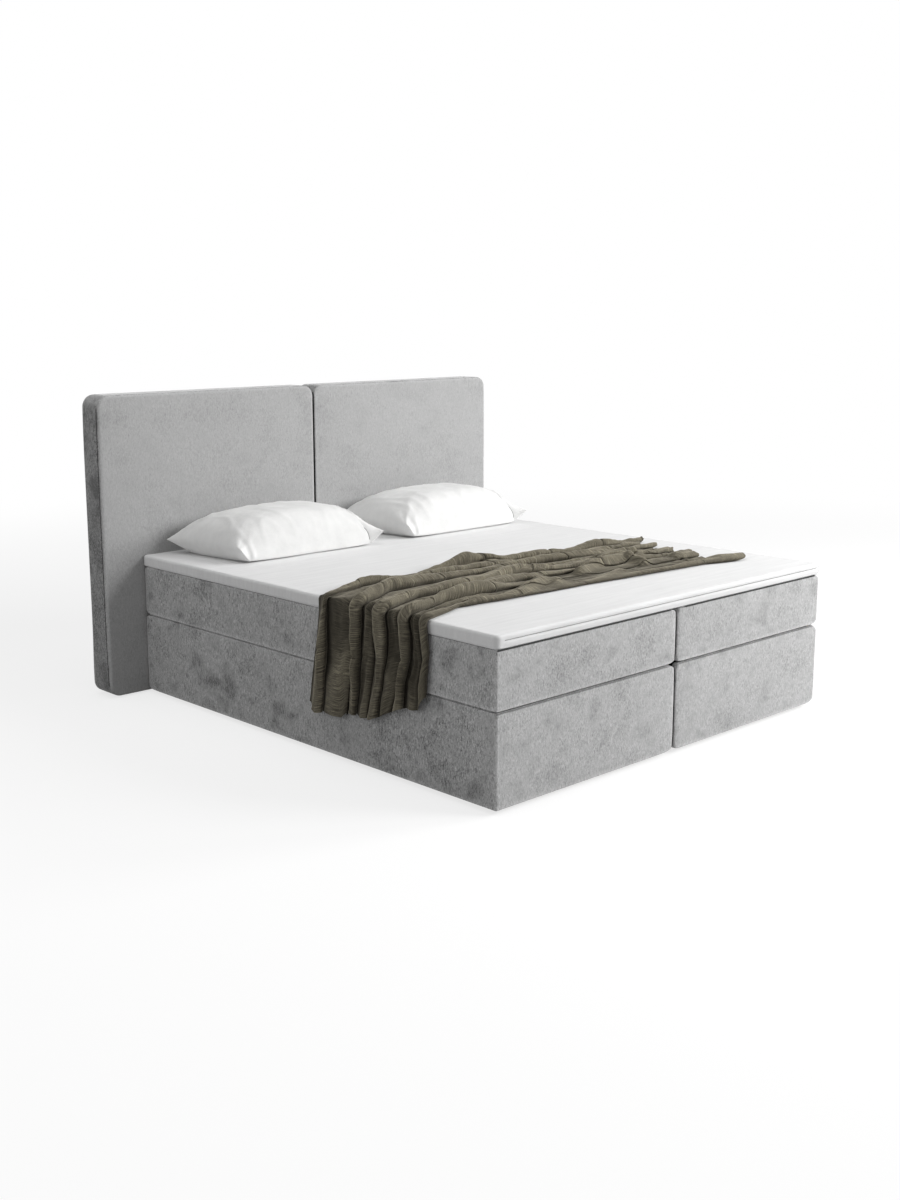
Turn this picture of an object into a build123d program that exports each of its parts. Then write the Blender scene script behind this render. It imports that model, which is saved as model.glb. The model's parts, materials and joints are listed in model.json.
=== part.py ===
"""Box spring bed: two storage boxes with lift-up mattresses, a topper, bedding and a two-part headboard.

Millimetres, +Z up. The headboard stands at +Y, the foot end looks towards -Y, and z = 0 is the floor.
The origin is on the floor, in the middle of the whole bed. "Left" is -X.
"""
import math
import os

from build123d import *

os.makedirs("parts", exist_ok=True)

sides = {"left": -1, "right": 1}

# Bed
bed_width = 1800.0
bed_length = 2000.0
middle_seam = 4.0
glide_height = 15.0
box_height = 314.5
lid_seam = 4.0
mattress_height = 196.0
topper_height = 45.5

# Headboard
headboard_width = 2140.0
headboard_height = 1208.0
headboard_depth = 135.0
headboard_seam = 4.0
headboard_gap = 4.0

# Levels and faces that the pieces share
foot_y = -(bed_length + headboard_gap + headboard_depth) / 2
head_y = foot_y + bed_length
headboard_front_y = head_y + headboard_gap
headboard_back_y = headboard_front_y + headboard_depth
inner_x = middle_seam / 2
outer_x = bed_width / 2
box_low = glide_height
box_top = box_low + box_height
mattress_low = box_top + lid_seam
mattress_top = mattress_low + mattress_height
topper_top = mattress_top + topper_height

# Box
board_thickness = 18.0
floor_thickness = 12.0
pad_thickness = 25.0
pad_middle_corner_radius = 28.0
pad_head_corner_radius = 22.0
pad_edge_radius = 15.0
board_setback = 3.0
post_width = 60.0
post_length = 45.0
glide_radius = 20.0
glide_inset = 45.0
glide_rows = 3

# Lifting frame
frame_height = 42.0
rail_thickness = 25.0
frame_head_gap = 12.0
frame_foot_gap = 12.0
slat_thickness = 8.0
slat_width = 70.0
slat_count = 13

# Lift fitting: places are measured from the bed's head end and from the floor
plate_thickness = 4.0
arm_thickness = 5.0
fitting_gap = 0.5
arm_width = 24.0
pivot_radius = 6.0
pivot_clearance = 0.05
open_pivot_clearance = 1.0
pin_end_gap = 0.2
lid_pivot_place = (180.0, 305.0)
upper_arm_length = 220.0
upper_arm_angle = 150.0
lower_lid_pivot_place = (190.0, 250.0)
lower_base_pivot_place = (420.0, 90.0)
spring_base_place = (300.0, 45.0)
spring_lid_place = (150.0, 245.0)
base_plate_margin = 15.0
lid_plate_margin = 20.0
plate_corner_radius = 12.0

# Gas spring
spring_tube_radius = 11.0
spring_rod_radius = 5.0
spring_tube_length = 148.0
spring_bore_clearance = 0.3
spring_neck_length = 12.0
spring_bore_floor = 20.0
spring_engaged = 64.0
spring_eye_radius = 9.0
spring_eye_width = 14.0
spring_pin_radius = 4.5
spring_side_gap = 0.3
spring_plate_offset = 12.3

# Mattress
cover_thickness = 12.0
foam_wall = 45.0
foam_layer = 25.0
spring_rows = 8
spring_columns = 19
spring_spacing_gap = 4.0

# Topper
topper_inset = 4.0
topper_corner_radius = 18.0
topper_edge_radius = 8.0
topper_skin = 4.0

# Headboard make-up
headboard_corner_radius = 48.0
headboard_edge_radius = 14.0
headboard_border = 25.0
headboard_board_thickness = 30.0
joining_plate_thickness = 4.0
joining_plate_length = 300.0
joining_plate_width = 60.0
joining_plate_height_shares = (0.22, 0.78)
headboard_glide_radius = 13.0
headboard_glide_spacing = 760.0

# Bolts
bolt_radius = 4.0
bolt_clearance = 0.3
bolt_head_radius = 9.0
bolt_head_height = 6.0
bolt_grip = 20.0
bracket_width = 60.0
bracket_height = 120.0
bracket_inset = 200.0
bracket_level = 150.0
spacer_radius = 15.0
connector_places = (700.0, 1300.0, 1800.0)
connector_level = 170.0

# Bedding
soft_gap = 0.3
pillow_length = 690.0
pillow_depth = 490.0
pillow_thickness = 172.0
pillow_end_thickness = 14.0
pillow_head_gap = 34.0
pillow_centres = {"left": -432.0, "right": 446.0}
pillow_seam_share = 0.3
pillow_floor_share = 0.74
pillow_bulge_share = 0.25
pillow_station_shares = (0.0, 0.07, 0.22, 0.5, 0.78, 0.93, 1.0)
pillow_thickness_shares = (0.0, 0.42, 0.83, 1.0, 0.83, 0.42, 0.0)
pillow_depth_shares = (1.0, 0.98, 0.955, 0.94, 0.955, 0.98, 1.0)
pillow_lift_shares = (1.0, 0.4, 0.08, 0.0, 0.08, 0.4, 1.0)
pillow_lift = 26.0

throw_width = 590.0
throw_foot_gap = 340.0
throw_fold_height = 24.0
throw_thickness = 5.0
throw_bend_radius = 12.0
throw_right_gap = 12.0
throw_hem_low = 165.0
throw_hem_rise = 95.0
throw_width_shares = (0.9, 0.8, 1.15, 0.85, 1.1, 0.95, 1.0, 0.9, 1.2, 0.8, 1.05, 0.95, 1.1)
throw_height_shares = (0.8, 1.0, 0.9, 1.0, 0.7, 1.0, 1.0, 1.0, 0.85, 1.0, 0.95, 1.0, 0.75)
throw_top_station_shares = (0.0, 0.35, 0.7, 1.0)
throw_top_shift_shares = (-0.06, 0.02, 0.03, 0.0)
throw_top_spread_shares = (1.02, 0.94, 0.97, 1.0)
throw_hang_drop_shares = (0.0, 0.5, 1.0)
throw_hang_shift_shares = (0.0, -0.03, -0.05)
throw_hang_spread_shares = (1.0, 0.97, 0.98)

cut_overrun = 10.0


def finish(piece, name):
    """Label one finished piece and write it to its own file."""
    piece.part.label = name
    export_step(piece.part, f"parts/{name}.step")


def across(side, near, far):
    """Limits along X of what lies between two distances from the middle, on one side of the bed."""
    return sorted((side * near, side * far))


def along(start, end):
    """Limits along Y of what lies between two distances from the bed's head end."""
    return head_y - end, head_y - start


def rectangle_between(low, high):
    """Draw a rectangle between two opposite corners."""
    with Locations(((low[0] + high[0]) / 2, (low[1] + high[1]) / 2)):
        Rectangle(high[0] - low[0], high[1] - low[1])


def block(x_limits, y_limits, z_limits, mode=Mode.ADD):
    """Build a block between three pairs of limits."""
    with BuildSketch(Plane.XY.offset(z_limits[0])) as plan:
        rectangle_between((x_limits[0], y_limits[0]), (x_limits[1], y_limits[1]))
    extrude(plan.sketch, amount=z_limits[1] - z_limits[0], mode=mode)


def rod_along_x(place, x_limits, radius, mode=Mode.ADD):
    """Build a round bar along X through a place given from the head end and the floor."""
    with BuildSketch(Plane.YZ.offset(x_limits[0])) as section:
        with Locations((head_y - place[0], place[1])):
            Circle(radius)
    extrude(section.sketch, amount=x_limits[1] - x_limits[0], mode=mode)


def rod_along_y(x, z, y_limits, radius, mode=Mode.ADD):
    """Build a round bar along Y."""
    with BuildSketch(Plane.XZ.offset(-y_limits[1])) as section:
        with Locations((x, z)):
            Circle(radius)
    extrude(section.sketch, amount=y_limits[1] - y_limits[0], mode=mode)


# Faces inside a box, as distances from the middle and from the head end
inner_board_face = inner_x + board_thickness
outer_board_face = outer_x - pad_thickness - board_thickness
outer_pad_face = outer_x - pad_thickness
foot_board_face = bed_length - pad_thickness - board_thickness
foot_pad_face = bed_length - pad_thickness
frame_low = mattress_low - slat_thickness - frame_height
board_low = box_low
board_top = box_top - board_setback


def round_towards_head(x_limits, z_limits):
    """Round the head-end corners of a pad, seen from its side."""
    with BuildSketch(Plane.YZ.offset(x_limits[0])) as side_view:
        rectangle_between((foot_y, z_limits[0]), (head_y, z_limits[1]))
        fillet(side_view.vertices().group_by(Axis.X)[-1], pad_head_corner_radius)
    extrude(side_view.sketch, amount=x_limits[1] - x_limits[0], mode=Mode.INTERSECT)


def round_towards_middle(side, y_limits, z_limits):
    """Round the corners at the bed's middle seam, seen from the foot."""
    low, high = across(side, inner_x, outer_x)
    with BuildSketch(Plane.XZ.offset(-y_limits[1])) as foot_view:
        rectangle_between((low, z_limits[0]), (high, z_limits[1]))
        towards_middle = -1 if side < 0 else 0
        fillet(foot_view.vertices().group_by(Axis.X)[towards_middle], pad_middle_corner_radius)
    extrude(foot_view.sketch, amount=y_limits[1] - y_limits[0], mode=Mode.INTERSECT)


def build_box_side_pad(half, side):
    with BuildPart() as side_pad:
        with BuildSketch(Plane.XY.offset(box_low)):
            with BuildLine():
                Polyline(
                    (side * outer_x, head_y),
                    (side * outer_x, foot_y),
                    (side * outer_pad_face, foot_y + pad_thickness),
                    (side * outer_pad_face, head_y),
                    close=True,
                )
            make_face()
        extrude(amount=box_height)
        round_towards_head(across(side, outer_pad_face, outer_x), (box_low, box_top))
    finish(side_pad, f"{half}_box_side_pad")


def build_box_foot_pad(half, side):
    with BuildPart() as foot_pad:
        with BuildSketch(Plane.XY.offset(box_low)) as plan:
            with BuildLine():
                Polyline(
                    (side * outer_x, foot_y),
                    (side * inner_x, foot_y),
                    (side * inner_x, foot_y + pad_thickness),
                    (side * outer_pad_face, foot_y + pad_thickness),
                    close=True,
                )
            make_face()
            fillet(plan.vertices().sort_by_distance((side * inner_x, foot_y))[0], pad_edge_radius)
        extrude(amount=box_height)
        round_towards_middle(side, (foot_y, foot_y + pad_thickness), (box_low, box_top))
    finish(foot_pad, f"{half}_box_foot_pad")


def build_box_boards(half, side):
    with BuildPart() as outer_board:
        block(
            across(side, outer_board_face, outer_pad_face),
            along(board_thickness, foot_board_face),
            (board_low, board_top),
        )
    finish(outer_board, f"{half}_box_outer_board")

    with BuildPart() as inner_board:
        block(
            across(side, inner_x, inner_board_face),
            along(board_thickness, foot_board_face),
            (board_low, box_top - pad_middle_corner_radius),
        )
        for place in connector_places:
            rod_along_x(
                (place, connector_level),
                across(side, inner_x - cut_overrun, inner_board_face + cut_overrun),
                bolt_radius + bolt_clearance,
                Mode.SUBTRACT,
            )
    finish(inner_board, f"{half}_box_inner_board")

    with BuildPart() as foot_board:
        depth = along(foot_board_face, foot_pad_face)
        block(across(side, inner_x, outer_pad_face), depth, (board_low, board_top))
        round_towards_middle(side, depth, (board_low, board_top))
    finish(foot_board, f"{half}_box_foot_board")

    with BuildPart() as head_board:
        block(across(side, inner_x, outer_pad_face), along(0, board_thickness), (board_low, board_top))
        for x in bracket_xs:
            rod_along_y(side * x, bracket_level, along(-cut_overrun, board_thickness + cut_overrun),
                        bolt_radius + bolt_clearance, Mode.SUBTRACT)
    finish(head_board, f"{half}_box_head_board")


def build_box_floor(half, side):
    with BuildPart() as box_floor:
        block(
            across(side, inner_board_face, outer_board_face),
            along(board_thickness, foot_board_face),
            (box_low, box_low + floor_thickness),
        )
    finish(box_floor, f"{half}_box_floor")


def build_box_corner_posts(half, side):
    """Four posts stand on the floor panel in the box's corners and carry the closed lifting frame."""
    with BuildPart() as posts:
        for near, far in (
            (inner_board_face, inner_board_face + post_width),
            (outer_board_face - post_width, outer_board_face),
        ):
            for start, end in (
                (board_thickness, board_thickness + post_length),
                (foot_board_face - post_length, foot_board_face),
            ):
                block(across(side, near, far), along(start, end), (box_low + floor_thickness, frame_low))
    finish(posts, f"{half}_box_corner_posts")


def build_box_glides(half, side):
    first = board_thickness + glide_inset
    spacing = (foot_board_face - glide_inset - first) / (glide_rows - 1)
    with BuildPart() as glides:
        with BuildSketch(Plane.XY):
            for x in (inner_board_face + glide_inset, outer_board_face - glide_inset):
                for row in range(glide_rows):
                    with Locations((side * x, head_y - first - row * spacing)):
                        Circle(glide_radius)
        extrude(amount=glide_height)
    finish(glides, f"{half}_box_glides")


# Lift fitting: each layer lies further from the board that carries the fitting
upper_arm_layer = (plate_thickness + fitting_gap, plate_thickness + fitting_gap + arm_thickness)
lower_arm_layer = (upper_arm_layer[1] + fitting_gap, upper_arm_layer[1] + fitting_gap + arm_thickness)
lid_plate_layer = (lower_arm_layer[1] + fitting_gap, lower_arm_layer[1] + fitting_gap + plate_thickness)
spring_middle = lid_plate_layer[1] + spring_plate_offset
upper_base_pivot_place = (
    lid_pivot_place[0] - upper_arm_length * math.cos(math.radians(upper_arm_angle)),
    lid_pivot_place[1] - upper_arm_length * math.sin(math.radians(upper_arm_angle)),
)
board_walls = ((inner_board_face, 1), (outer_board_face, -1))


def layer(side, wall, low, high):
    """Limits along X of a layer of the fitting, counted inwards from the board that carries it."""
    face, inwards = wall
    return sorted((side * (face + inwards * low), side * (face + inwards * high)))


def plate_round(places, x_limits, margin, z_top=None):
    """Build a plate with rounded corners round a set of places, up to a given height where one is stated."""
    u_low = min(place[0] for place in places) - margin
    u_high = max(place[0] for place in places) + margin
    z_low = min(place[1] for place in places) - margin
    z_high = z_top or max(place[1] for place in places) + margin
    with BuildSketch(Plane.YZ.offset(x_limits[0])) as outline:
        rectangle_between((head_y - u_high, z_low), (head_y - u_low, z_high))
        fillet(outline.vertices(), plate_corner_radius)
    extrude(outline.sketch, amount=x_limits[1] - x_limits[0])


def arm_between(start, end, x_limits):
    """Build a flat bar with round ends from one pivot to another."""
    run = start[0] - end[0]
    rise = end[1] - start[1]
    with BuildSketch(Plane.YZ.offset(x_limits[0])) as outline:
        with Locations((head_y - (start[0] + end[0]) / 2, (start[1] + end[1]) / 2)):
            slope = math.degrees(math.atan2(rise, run))
            SlotCenterToCenter(math.hypot(run, rise), arm_width, rotation=slope)
    extrude(outline.sketch, amount=x_limits[1] - x_limits[0])


def build_lift_base_plates(half, side):
    """Two plates on the side boards, each with studs for both arms and for the gas spring."""
    places = (upper_base_pivot_place, lower_base_pivot_place, spring_base_place)
    stud_ends = (
        (upper_base_pivot_place, upper_arm_layer[1], pivot_radius),
        (lower_base_pivot_place, lower_arm_layer[1], pivot_radius),
        (spring_base_place, spring_middle + spring_eye_width / 2, spring_pin_radius),
    )
    with BuildPart() as base_plates:
        for wall in board_walls:
            plate_round(places, layer(side, wall, 0, plate_thickness), base_plate_margin)
            for place, end, radius in stud_ends:
                rod_along_x(place, layer(side, wall, 0, end), radius)
    finish(base_plates, f"{half}_lift_base_plates")


def build_lift_upper_arms(half, side):
    with BuildPart() as upper_arms:
        for wall in board_walls:
            x_limits = layer(side, wall, *upper_arm_layer)
            arm_between(upper_base_pivot_place, lid_pivot_place, x_limits)
            rod_along_x(upper_base_pivot_place, x_limits, pivot_radius + pivot_clearance, Mode.SUBTRACT)
            pin_limits = layer(side, wall, upper_arm_layer[0], lid_plate_layer[1] - pin_end_gap)
            rod_along_x(lid_pivot_place, pin_limits, pivot_radius)
    finish(upper_arms, f"{half}_lift_upper_arms")


def build_lift_lower_arms(half, side):
    with BuildPart() as lower_arms:
        for wall in board_walls:
            x_limits = layer(side, wall, *lower_arm_layer)
            arm_between(lower_base_pivot_place, lower_lid_pivot_place, x_limits)
            rod_along_x(lower_base_pivot_place, x_limits, pivot_radius + pivot_clearance, Mode.SUBTRACT)
            pin_limits = layer(side, wall, lower_arm_layer[0], lid_plate_layer[1] - pin_end_gap)
            rod_along_x(lower_lid_pivot_place, pin_limits, pivot_radius)
    finish(lower_arms, f"{half}_lift_lower_arms")


def build_lift_lid_plates(half, side):
    """Two plates on the lifting frame's side rails, which hang from the arms' pins."""
    places = (lid_pivot_place, lower_lid_pivot_place, spring_lid_place)
    with BuildPart() as lid_plates:
        for wall in board_walls:
            x_limits = layer(side, wall, *lid_plate_layer)
            plate_round(places, x_limits, lid_plate_margin, frame_low + frame_height)
            rod_along_x(lid_pivot_place, x_limits, pivot_radius + pivot_clearance, Mode.SUBTRACT)
            rod_along_x(lower_lid_pivot_place, x_limits, pivot_radius + open_pivot_clearance, Mode.SUBTRACT)
    finish(lid_plates, f"{half}_lift_lid_plates")


# Gas spring: distances along it are counted from its lower eye
spring_run = spring_base_place[0] - spring_lid_place[0]
spring_rise = spring_lid_place[1] - spring_base_place[1]
spring_length = math.hypot(spring_run, spring_rise)


def spring_plane(side, wall, distance):
    """The plane square to the gas spring at a distance from its lower eye."""
    face, inwards = wall
    share = distance / spring_length
    origin = (
        side * (face + inwards * spring_middle),
        head_y - spring_base_place[0] + share * spring_run,
        spring_base_place[1] + share * spring_rise,
    )
    return Plane(origin=origin, x_dir=(1, 0, 0), z_dir=(0, spring_run, spring_rise))


def spring_bar(side, wall, start, end, radius, mode=Mode.ADD):
    """Build a round bar along the gas spring."""
    with BuildSketch(spring_plane(side, wall, start)) as section:
        Circle(radius)
    extrude(section.sketch, amount=end - start, mode=mode)


def spring_eye_limits(side, wall):
    """Limits along X of the spring's eyes."""
    return layer(side, wall, spring_middle - spring_eye_width / 2, spring_middle + spring_eye_width / 2)


def build_gas_spring_tubes(half, side):
    with BuildPart() as tubes:
        for wall in board_walls:
            spring_bar(side, wall, 0, spring_neck_length, spring_rod_radius)
            spring_bar(side, wall, spring_neck_length, spring_tube_length, spring_tube_radius)
            spring_bar(side, wall, spring_bore_floor, spring_tube_length + cut_overrun,
                       spring_rod_radius + spring_bore_clearance, Mode.SUBTRACT)
            eye = spring_eye_limits(side, wall)
            rod_along_x(spring_base_place, eye, spring_eye_radius)
            rod_along_x(spring_base_place, eye, spring_pin_radius + pivot_clearance, Mode.SUBTRACT)
    finish(tubes, f"{half}_gas_spring_tubes")


def build_gas_spring_rods(half, side):
    """The pin of each rod's eye ends just short of the plate that it pushes."""
    with BuildPart() as rods:
        for wall in board_walls:
            spring_bar(side, wall, spring_engaged, spring_length, spring_rod_radius)
            rod_along_x(spring_lid_place, spring_eye_limits(side, wall), spring_eye_radius)
            pin_limits = layer(side, wall, lid_plate_layer[1] + spring_side_gap, spring_middle)
            rod_along_x(spring_lid_place, pin_limits, spring_pin_radius)
    finish(rods, f"{half}_gas_spring_rods")


# Lifting frame
frame_near = inner_board_face + lid_plate_layer[1]
frame_far = outer_board_face - lid_plate_layer[1]
frame_start = board_thickness + frame_head_gap
frame_end = foot_board_face - frame_foot_gap
frame_top = frame_low + frame_height


def build_lid_frame(half, side):
    with BuildPart() as side_rails:
        for near in (frame_near, frame_far - rail_thickness):
            width = across(side, near, near + rail_thickness)
            block(width, along(frame_start, frame_end), (frame_low, frame_top))
    finish(side_rails, f"{half}_lid_side_rails")

    rail_span = across(side, frame_near + rail_thickness, frame_far - rail_thickness)
    with BuildPart() as end_rails:
        for start in (frame_start, frame_end - rail_thickness):
            block(rail_span, along(start, start + rail_thickness), (frame_low, frame_top))
    finish(end_rails, f"{half}_lid_end_rails")

    slat_step = (frame_end - frame_start - slat_width) / (slat_count - 1)
    with BuildPart() as slats:
        for number in range(slat_count):
            start = frame_start + number * slat_step
            depth = along(start, start + slat_width)
            block(across(side, frame_near, frame_far), depth, (frame_top, mattress_low))
    finish(slats, f"{half}_lid_slats")


def build_mattress(half, side):
    near = inner_x + cover_thickness
    far = outer_x - cover_thickness
    start = cover_thickness
    end = bed_length - cover_thickness
    low = mattress_low + cover_thickness
    high = mattress_top - cover_thickness
    with BuildPart() as mattress_cover:
        with BuildSketch(Plane.XY.offset(mattress_low)) as plan:
            limits = across(side, inner_x, outer_x)
            rectangle_between((limits[0], foot_y), (limits[1], head_y))
            fillet(plan.vertices().sort_by_distance((side * outer_x, foot_y))[1:], pad_edge_radius)
        extrude(amount=mattress_height)
        round_towards_head(across(side, inner_x, outer_x), (mattress_low, mattress_top))
        round_towards_middle(side, (foot_y, head_y), (mattress_low, mattress_top))
        block(across(side, near, far), along(start, end), (low, high), Mode.SUBTRACT)
    finish(mattress_cover, f"{half}_mattress_cover")

    near_springs = near + foam_wall
    far_springs = far - foam_wall
    start_springs = start + foam_wall
    end_springs = end - foam_wall
    with BuildPart() as mattress_foam:
        block(across(side, near, far), along(start, end), (low, high))
        block(
            across(side, near_springs, far_springs),
            along(start_springs, end_springs),
            (low + foam_layer, high - foam_layer),
            Mode.SUBTRACT,
        )
    finish(mattress_foam, f"{half}_mattress_foam")

    row_step = (far_springs - near_springs) / spring_rows
    column_step = (end_springs - start_springs) / spring_columns
    middle = (side * (near_springs + far_springs) / 2, head_y - (start_springs + end_springs) / 2)
    with BuildPart() as mattress_springs:
        with BuildSketch(Plane.XY.offset(low + foam_layer)):
            with Locations(middle):
                with GridLocations(row_step, column_step, spring_rows, spring_columns):
                    Circle((min(row_step, column_step) - spring_spacing_gap) / 2)
        extrude(amount=high - low - 2 * foam_layer)
    finish(mattress_springs, f"{half}_mattress_springs")


def build_topper():
    width = bed_width - 2 * topper_inset
    length = bed_length - 2 * topper_inset
    middle_y = foot_y + bed_length / 2
    with BuildPart() as topper_cover:
        with BuildSketch(Plane.XY.offset(mattress_top)):
            with Locations((0, middle_y)):
                RectangleRounded(width, length, topper_corner_radius)
        extrude(amount=topper_height)
        rims = topper_cover.faces().filter_by(Axis.Z).edges()
        fillet(rims, topper_edge_radius)
        with BuildSketch(Plane.XY.offset(mattress_top + topper_skin)):
            with Locations((0, middle_y)):
                RectangleRounded(width - 2 * topper_edge_radius, length - 2 * topper_edge_radius,
                                 topper_corner_radius - topper_edge_radius)
        extrude(amount=topper_height - 2 * topper_skin, mode=Mode.SUBTRACT)
    finish(topper_cover, "topper_cover")

    with BuildPart() as topper_core:
        with BuildSketch(Plane.XY.offset(mattress_top + topper_skin)):
            with Locations((0, middle_y)):
                RectangleRounded(width - 2 * topper_edge_radius, length - 2 * topper_edge_radius,
                                 topper_corner_radius - topper_edge_radius)
        extrude(amount=topper_height - 2 * topper_skin)
    finish(topper_core, "topper_core")


def draw_pillow_section(depth_share, thickness_share, lift_share):
    """Draw a pillow's outline across its depth: a flat underside, full sides and a high crown."""
    middle_y = head_y - pillow_head_gap - pillow_depth / 2
    half_depth = pillow_depth * depth_share / 2
    thickness = pillow_end_thickness + (pillow_thickness - pillow_end_thickness) * thickness_share
    low = topper_top + soft_gap + pillow_lift * lift_share
    seam = low + thickness * pillow_seam_share
    half_floor = half_depth * pillow_floor_share
    side_y = half_floor + (half_depth - half_floor) * (1 + pillow_bulge_share) / 2
    side_z = low + thickness * pillow_seam_share / 2 * (1 - pillow_bulge_share)
    front_floor = (middle_y - half_floor, low)
    back_floor = (middle_y + half_floor, low)
    front_seam = (middle_y - half_depth, seam)
    back_seam = (middle_y + half_depth, seam)
    with BuildLine() as outline:
        Line(back_floor, front_floor)
        ThreePointArc(front_floor, (middle_y - side_y, side_z), front_seam)
        ThreePointArc(front_seam, (middle_y, low + thickness), back_seam)
        ThreePointArc(back_seam, (middle_y + side_y, side_z), back_floor)
    make_face(outline.edges())


def build_pillow(half):
    first_x = pillow_centres[half] - pillow_length / 2
    shares = zip(pillow_station_shares, pillow_depth_shares, pillow_thickness_shares, pillow_lift_shares)
    with BuildPart() as pillow:
        for station, depth, thickness, lift in shares:
            with BuildSketch(Plane.YZ.offset(first_x + station * pillow_length)):
                draw_pillow_section(depth, thickness, lift)
        loft()
    finish(pillow, f"{half}_pillow")


def draw_throw_section(shift_share, spread_share):
    """Draw the gathered throw's outline: a row of folds, seen along its length."""
    width = throw_width * spread_share
    start = foot_y + throw_foot_gap + throw_width * shift_share + (throw_width - width) / 2
    share_sum = sum(throw_width_shares)
    level = throw_fold_height / 2
    last = len(throw_width_shares) - 1
    lower = [(start, 0)]
    tops = []
    for number, (share, height) in enumerate(zip(throw_width_shares, throw_height_shares)):
        step = width * share / share_sum
        rise = level * height if number % 2 == 0 else -level
        end_level = 0 if number == last else level
        tops.append((lower[-1][0] + step / 2, (lower[-1][1] + end_level) / 2 + rise))
        lower.append((lower[-1][0] + step, end_level))
    upper = [(y, z + throw_thickness) for y, z in lower]
    upper_tops = [(y, z + throw_thickness) for y, z in tops]
    with BuildLine() as outline:
        for first, middle, second in zip(lower, tops, lower[1:]):
            ThreePointArc(first, middle, second)
        Line(lower[-1], upper[-1])
        for first, middle, second in zip(upper, upper_tops, upper[1:]):
            ThreePointArc(first, middle, second)
        Line(upper[0], lower[0])
    make_face(outline.edges())


def build_throw():
    """The throw lies across the topper, bends over its left edge and hangs down the bed's side."""
    surface = topper_top + soft_gap
    bend_x = -outer_x - soft_gap + throw_bend_radius
    bend_z = surface - throw_bend_radius
    right_x = outer_x - topper_inset - throw_right_gap
    hang_x = -outer_x - soft_gap
    top_shares = zip(throw_top_station_shares, throw_top_shift_shares, throw_top_spread_shares)
    hang_shares = zip(throw_hang_drop_shares, throw_hang_shift_shares, throw_hang_spread_shares)
    with BuildPart() as throw:
        for station, shift, spread in top_shares:
            x = right_x + (bend_x - right_x) * station
            with BuildSketch(Plane(origin=(x, 0, surface), x_dir=(0, 1, 0), z_dir=(1, 0, 0))):
                draw_throw_section(shift, spread)
        loft()
        with BuildSketch(Plane(origin=(bend_x, 0, surface), x_dir=(0, 1, 0), z_dir=(1, 0, 0))):
            draw_throw_section(throw_top_shift_shares[-1], throw_top_spread_shares[-1])
        revolve(axis=Axis((bend_x, 0, bend_z), (0, -1, 0)), revolution_arc=90)
        for drop, shift, spread in hang_shares:
            z = bend_z + (throw_hem_low - bend_z) * drop
            with BuildSketch(Plane(origin=(hang_x, 0, z), x_dir=(0, 1, 0), z_dir=(0, 0, 1))):
                draw_throw_section(shift, spread)
        loft()
        hem_head_y = foot_y + throw_foot_gap + throw_width
        hem_plane = Plane(
            origin=(hang_x, hem_head_y, throw_hem_low),
            x_dir=(1, 0, 0),
            z_dir=(0, throw_hem_rise, throw_width),
        )
        split(bisect_by=hem_plane, keep=Keep.TOP)
    finish(throw, "throw_blanket")


# Fasteners between the boxes and the headboard, as distances from the middle
bracket_xs = (bracket_inset, outer_pad_face - bracket_inset)
panel_inner = headboard_seam / 2
panel_outer = headboard_width / 2
headboard_low = glide_height
headboard_top = headboard_low + headboard_height
board_front_y = headboard_back_y - joining_plate_thickness - headboard_board_thickness
board_back_y = headboard_back_y - joining_plate_thickness
joining_plate_heights = [headboard_low + headboard_height * share for share in joining_plate_height_shares]
bolt_end_y = board_front_y + bolt_grip


def joining_plate_blocks(mode=Mode.ADD):
    """The two plates that tie the headboard's halves together across the seam."""
    for z in joining_plate_heights:
        block(
            (-joining_plate_length / 2, joining_plate_length / 2),
            (board_back_y, headboard_back_y),
            (z - joining_plate_width / 2, z + joining_plate_width / 2),
            mode,
        )


def build_headboard_half(half, side):
    panel_x = across(side, panel_inner, panel_outer)
    board_x = across(side, panel_inner + headboard_border, panel_outer - headboard_border)
    with BuildPart() as headboard_pad:
        with BuildSketch(Plane.XZ.offset(-headboard_back_y)) as face:
            rectangle_between((panel_x[0], headboard_low), (panel_x[1], headboard_top))
            fillet(face.vertices(), headboard_corner_radius)
        extrude(amount=headboard_depth)
        fillet(headboard_pad.faces().sort_by(Axis.Y)[0].edges(), headboard_edge_radius)
        block(board_x, (board_front_y, headboard_back_y), (headboard_low, headboard_top - headboard_border),
              Mode.SUBTRACT)
        joining_plate_blocks(Mode.SUBTRACT)
        for x in bracket_xs:
            rod_along_y(side * x, bracket_level, (headboard_front_y - cut_overrun, board_back_y),
                        bolt_radius + bolt_clearance, Mode.SUBTRACT)
    finish(headboard_pad, f"{half}_headboard_pad")

    with BuildPart() as headboard_board:
        block(board_x, (board_front_y, board_back_y), (headboard_low, headboard_top - headboard_border))
        for x in bracket_xs:
            rod_along_y(side * x, bracket_level, (board_front_y - cut_overrun, bolt_end_y),
                        bolt_radius + bolt_clearance, Mode.SUBTRACT)
    finish(headboard_board, f"{half}_headboard_board")


def build_headboard_joining_plates():
    with BuildPart() as joining_plates:
        joining_plate_blocks()
    finish(joining_plates, "headboard_joining_plates")


def build_headboard_glides():
    y = (board_front_y + board_back_y) / 2
    with BuildPart() as glides:
        with BuildSketch(Plane.XY):
            for side in sides.values():
                with Locations((side * (panel_inner + panel_outer) / 2, y)):
                    with GridLocations(headboard_glide_spacing, headboard_glide_spacing, 2, 1):
                        Circle(headboard_glide_radius)
        extrude(amount=glide_height)
    finish(glides, "headboard_glides")


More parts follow.
